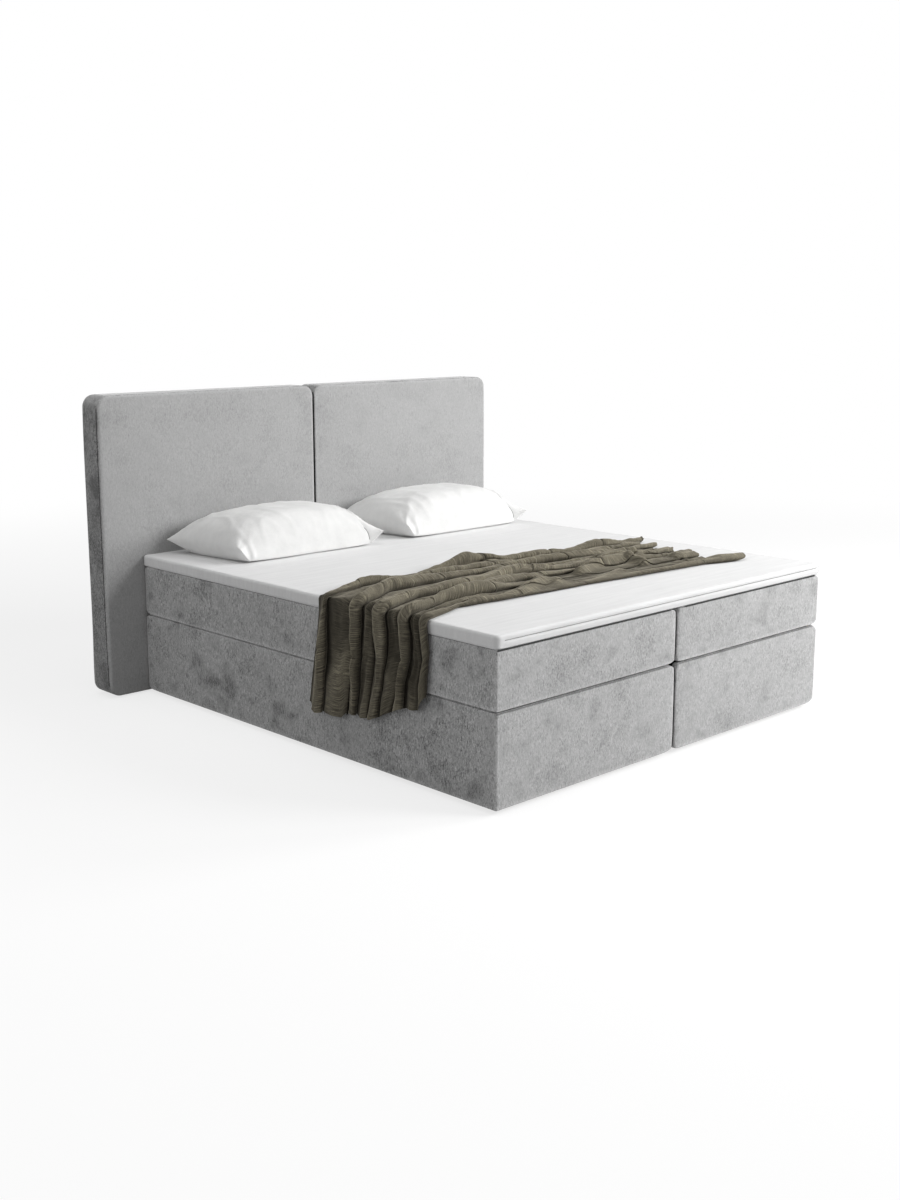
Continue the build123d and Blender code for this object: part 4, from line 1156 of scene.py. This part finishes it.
def build_throw(material):
    """A gathered throw: long overlapping folds on the topper, which bend over its left edge and hang."""
    path = ThrowPath()
    stations = path.stations(6 * MM)
    rows, folds = fold_cloth(path, stations, 26)
    along, share, y, h = rows.T
    ending = 1 - smooth_share(share - folds + 1)
    on_top = 1 - path.past_edge(along, 100 * MM, 100 * MM)
    h = raise_ridges(path.right - along, y, h, on_top * ending)
    # The checks' thick threads draw the cloth in a little.
    run = along + 0.05 * np.array([waves(s, f, 0.8, 1.7, 2.2) for s, f in zip(along, share)])
    off_check = np.abs((run / CHECK_REPEAT + 0.5) % 1 - 0.5) * CHECK_REPEAT
    h = np.maximum(h * (1 - 0.16 * bell(off_check, 6 * MM)), 0)

    # The weave's pattern follows the cloth over its folds.
    count = len(along) // len(stations)
    across = np.hypot(np.diff(y, prepend=y[0]), np.diff(h, prepend=h[0]))
    across[::count] = 0
    width = np.cumsum(across.reshape(-1, count), axis=1).ravel()
    cut = np.stack([run, width], axis=1)

    frayed = 6 * MM * np.array([waves(f, 0, 0.09, 1, 8.8) for f in share])
    points = path.place(along, y, h, np.interp(share, *zip(*THROW_ENDS)) - frayed)
    faces = []
    for i in range(len(stations) - 1):
        for n in range(count - 1):
            a = i * count + n
            faces.append((a, a + 1, a + count + 1, a + count))
    mesh = bpy.data.meshes.new("draped_throw")
    mesh.from_pydata([tuple(p) for p in points], [], faces)
    layer = mesh.uv_layers.new(name="cut")
    for loop in mesh.loops:
        layer.data[loop.index].uv = cut[loop.vertex_index]
    # Each point's height share in its fold, which the linen uses to paint shade into the tucks.
    crest = np.clip(h / (20 * MM + 12 * MM * (1 - on_top)), 0, 1)
    mesh.attributes.new("crest", "FLOAT", "POINT").data.foreach_set("value", crest)
    piece = place_piece("draped_throw", mesh, material, "throw")
    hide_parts("throw_blanket")


def build_floor():
    """A pale floor that keeps the bed's soft shadow, and fades to pure white further out."""
    reach = 30
    corners = [(-reach, -reach, 0), (reach, -reach, 0), (reach, reach, 0), (-reach, reach, 0)]
    mesh = bpy.data.meshes.new("studio_floor")
    mesh.from_pydata(corners, [], [(0, 1, 2, 3)])
    floor = bpy.data.objects.new("studio_floor", mesh)
    scene.collection.objects.link(floor)
    material = bpy.data.materials.new("studio_floor")
    look = Nodes(material)
    matt = look.add("BsdfDiffuse", {"Color": linear("#B8B8B8")})
    paper = look.add("BsdfDiffuse", {"Color": (0.30, 0.30, 0.30, 1)})
    glow = look.add("Emission", {"Color": (1, 1, 1, 1), "Strength": 0.73})
    lit = look.add("AddShader", {0: paper.outputs[0], 1: glow.outputs[0]})
    backdrop = look.add("Emission", {"Color": (1, 1, 1, 1), "Strength": 1.0})
    place = look.add("TexCoord").outputs["Object"]
    distance = look.add("VectorMath", {0: place}, operation="LENGTH").outputs["Value"]
    far = look.remap(distance, 2.2, 7.0, smooth=True)
    shown = look.add("MixShader", {"Fac": far, 1: lit.outputs[0], 2: backdrop.outputs[0]})
    surface = look.add("MixShader", {"Fac": look.seen_by_camera(), 1: matt.outputs[0], 2: shown.outputs[0]})
    look.add("OutputMaterial", {"Surface": surface.outputs[0]})
    mesh.materials.append(material)


def build_world():
    """A weak white light from all sides, in front of a white backdrop."""
    world = bpy.data.worlds.new("studio")
    scene.world = world
    look = Nodes(world)
    path = look.add("LightPath").outputs
    seen = look.math("MAXIMUM", look.seen_by_camera(), path["Is Transmission Ray"])
    ambient = look.add("Background", {"Color": (1, 1, 1, 1), "Strength": 0.3})
    backdrop = look.add("Background", {"Color": (1, 1, 1, 1), "Strength": 1.0})
    mixed = look.add("MixShader", {"Fac": seen, 1: ambient.outputs[0], 2: backdrop.outputs[0]})
    look.add("OutputWorld", {"Surface": mixed.outputs[0]})


def add_lamp(name, place, target, size, power):
    lamp = bpy.data.lights.new(name, "AREA")
    lamp.shape = "DISK"
    lamp.size = size
    lamp.energy = power
    holder = bpy.data.objects.new(name, lamp)
    scene.collection.objects.link(holder)
    holder.location = place
    holder.rotation_euler = (Vector(target) - Vector(place)).to_track_quat("-Z", "Y").to_euler()


def build_lamps():
    """Two large soft lamps from the front right, and weak ones from above and from the left."""
    middle = (0, 0, 0.4)
    add_lamp("window_light", (3.4, -5.4, 3.7), middle, 3.0, 300)
    add_lamp("right_light", (4.6, -2.9, 2.6), (0, -0.4, 0.4), 2.0, 175)
    add_lamp("ceiling_light", (-1.2, 0.2, 5.0), middle, 4.0, 50)
    add_lamp("left_fill", (-5.5, 0.5, 2.2), middle, 3.0, 28)


def build_camera():
    """The photograph's own view, found from the bed's corners."""
    yaw, pitch, roll = (math.radians(angle) for angle in (42.9985, 10.908, -0.2218))
    ahead = Vector((math.sin(yaw) * math.cos(pitch), math.cos(yaw) * math.cos(pitch), -math.sin(pitch)))
    level = Vector((math.cos(yaw), -math.sin(yaw), 0))
    upright = level.cross(ahead)
    across = level * math.cos(roll) + upright * math.sin(roll)
    upwards = upright * math.cos(roll) - level * math.sin(roll)
    camera = bpy.data.cameras.new("camera")
    camera.lens = 41.925
    camera.sensor_width = 36
    camera.shift_x = 0.01891
    camera.shift_y = -0.01743
    camera.clip_end = 100
    holder = bpy.data.objects.new("camera", camera)
    scene.collection.objects.link(holder)
    turn = Matrix((across, upwards, -ahead)).transposed()
    holder.matrix_world = Matrix.Translation((-3.8653, -3.9406, 1.5469)) @ turn.to_4x4()
    scene.camera = holder


materials = build_materials()
for part in frame["record"]["subparts"]:
    node = frame["nodes"][part["node"]]
    for holder in node.material_slots:
        holder.material = materials[part["material_slot"]]

for half, side in HALVES.items():
    build_box_upholstery(half, side, materials["grey_velvet"])
    build_mattress(half, side, materials["grey_velvet"], materials["grey_thread"])
    build_headboard_panel(half, side, materials["headboard_velvet"], materials["grey_thread"])
    build_pillow(half, side, materials["white_cotton"], materials["sewing_thread"])
build_topper(materials["white_jersey"], materials["sewing_thread"])
build_throw(materials["olive_linen"])
build_floor()
build_world()
build_lamps()
build_camera()
scene.view_settings.view_transform = "Standard"
